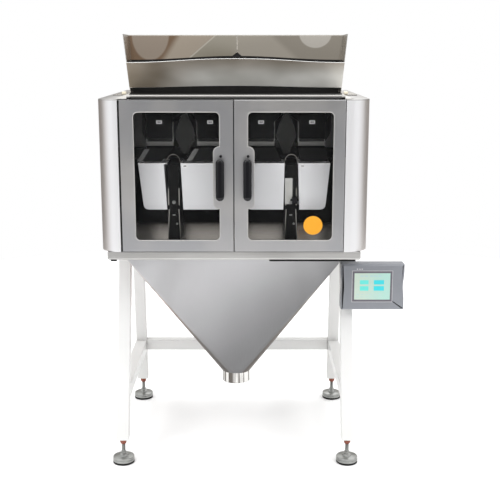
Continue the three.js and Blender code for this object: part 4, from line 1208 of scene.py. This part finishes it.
housing = add_plate(bmesh.new(), outline, (0, panel_high.y - panel_low.y, 0))
corner_edges = [e for e in housing.edges if abs(e.verts[0].co.y - e.verts[1].co.y) > 20 * MM
                and e.calc_face_angle(0) > math.radians(50)]
bmesh.ops.bevel(housing, geom=corner_edges, offset=4 * MM, segments=4, profile=0.5, affect="EDGES",
                material=-1)
front_face = min(housing.faces, key=lambda f: f.calc_center_median().y)
bmesh.ops.inset_region(housing, faces=[front_face], thickness=CHAMFER["width"] * MM, use_even_offset=True)
chamfer_foot = [v for v in housing.verts
                if v.co.y < panel_low.y + 0.1 * MM and v not in front_face.verts]
bmesh.ops.translate(housing, vec=(0, CHAMFER["depth"] * MM, 0), verts=chamfer_foot)
finished(round_edges(housing, 0.6, 2, angle=25), "touch_panel_housing", "machine", "grey_plastic",
         grey_plastic, "touch_panel")

SCREEN = {"half_width": 58.5, "half_height": 44, "left": 1.5, "rise": 2}
bezel_light = mottled("bezel_light", (0.34, 0.34, 0.36), (0.42, 0.42, 0.44), 90, roughness=0.45)
bezel_dark = mottled("bezel_dark", (0.10, 0.09, 0.11), (0.14, 0.13, 0.15), 90, roughness=0.5)


def add_frame(bm, centre, half_width, half_height, width, front, back):
    """Adds a flat rectangular frame that faces forward."""
    for sign in (-1, 1):
        x = centre.x + sign * (half_width - width / 2) * MM
        add_block(bm, Vector((x - width / 2 * MM, front, centre.z - half_height * MM)),
                  Vector((x + width / 2 * MM, back, centre.z + half_height * MM)))
        z = centre.z + sign * (half_height - width / 2) * MM
        add_block(bm, Vector((centre.x - (half_width - width) * MM, front, z - width / 2 * MM)),
                  Vector((centre.x + (half_width - width) * MM, back, z + width / 2 * MM)))
    return bm


screen_centre = Vector((panel_middle.x - SCREEN["left"] * MM, 0, panel_middle.z + SCREEN["rise"] * MM))
face_y = panel_low.y
light_frame = add_frame(bmesh.new(), screen_centre, 66.5, 53, 2.6, face_y - 0.7 * MM, face_y + 1 * MM)
finished(round_edges(light_frame, 0.4, 2), "touch_panel_rim", "machine", "grey_plastic", bezel_light)
dark_frame = add_frame(bmesh.new(), screen_centre, 63.8, 50.3, 6.0, face_y - 0.3 * MM, face_y + 1 * MM)
finished(round_edges(dark_frame, 0.3, 1), "touch_panel_bezel", "machine", "grey_plastic", bezel_dark)

screen_glow = Finish("screen_glow", roughness=0.3, emission_strength=0.10, specular_ior_level=0.2)
scan_lines = screen_glow.noise(1.0, stretch=(60, 60, 900), detail=1)
left_to_right = screen_glow.axis("X").between(panel_middle.x - 0.05, panel_middle.x + 0.05)
mint = screen_glow.mix(left_to_right, (0.46, 0.56, 0.47), (0.34, 0.56, 0.49))
soft_mint = screen_glow.mix(scan_lines * 0.2, mint, (0.56, 0.62, 0.64))
screen_glow.feed(base_color=soft_mint, emission_color=soft_mint)
screen = bmesh.new()
add_block(screen, Vector((screen_centre.x - SCREEN["half_width"] * MM, face_y - 0.15 * MM,
                          screen_centre.z - SCREEN["half_height"] * MM)),
          Vector((screen_centre.x + SCREEN["half_width"] * MM, face_y + 1 * MM,
                  screen_centre.z + SCREEN["half_height"] * MM)))
finished(round_edges(screen, 0.3, 1), "touch_panel_screen", "machine", "grey_plastic", screen_glow)


def screen_marks(name, colour, glow, marks):
    """Flat marks on the screen: (left, right, bottom, top) in millimetres from its centre."""
    ink = Finish(name, roughness=0.3, emission_strength=glow)
    shade = ink.mix(ink.noise(300), colour, [c * 0.8 + 0.04 for c in colour])
    ink.feed(base_color=shade, emission_color=shade)
    printed = bmesh.new()
    for left, right, bottom, top in marks:
        add_block(printed, screen_centre + Vector((left * MM, face_y - 0.4 * MM, bottom * MM)),
                  screen_centre + Vector((right * MM, face_y, top * MM)))
    return finished(printed, name, "machine", "grey_plastic", ink)


FIELD_ROWS = ((7, 21), (-14, 1))
FIELD_COLUMNS = (("screen_fields_left", (0.10, 0.62, 0.56), (-40, -12)),
                 ("screen_fields_right", (0.01, 0.54, 0.60), (5, 38)))
for name, colour, columns in FIELD_COLUMNS:
    screen_marks(name, colour, 0.2, [(*columns, *rows) for rows in FIELD_ROWS])
screen_marks("screen_title", (0.36, 0.55, 0.60), 0.1,
             [(x, x + 10, 33, 36) for x in (-39, -25, -8, 5, 19)])
screen_marks("screen_lines", (0.40, 0.58, 0.56), 0.1,
             [(x, x + 9, z, z + 2) for z in (-27, -36) for x in (-51, -37, -23, -9, 6, 22)])
screen_marks("panel_lamps", (0.62, 0.60, 0.62), 0.0,
             [(x, x + 4, 56, 59) for x in (-51, -43, -36)])

bracket = round_edges(mesh_of("panel_bracket"), 1.2, 2)
finished(bracket, "panel_bracket_arm", "machine", "white_paint", powder_coat, "panel_bracket")
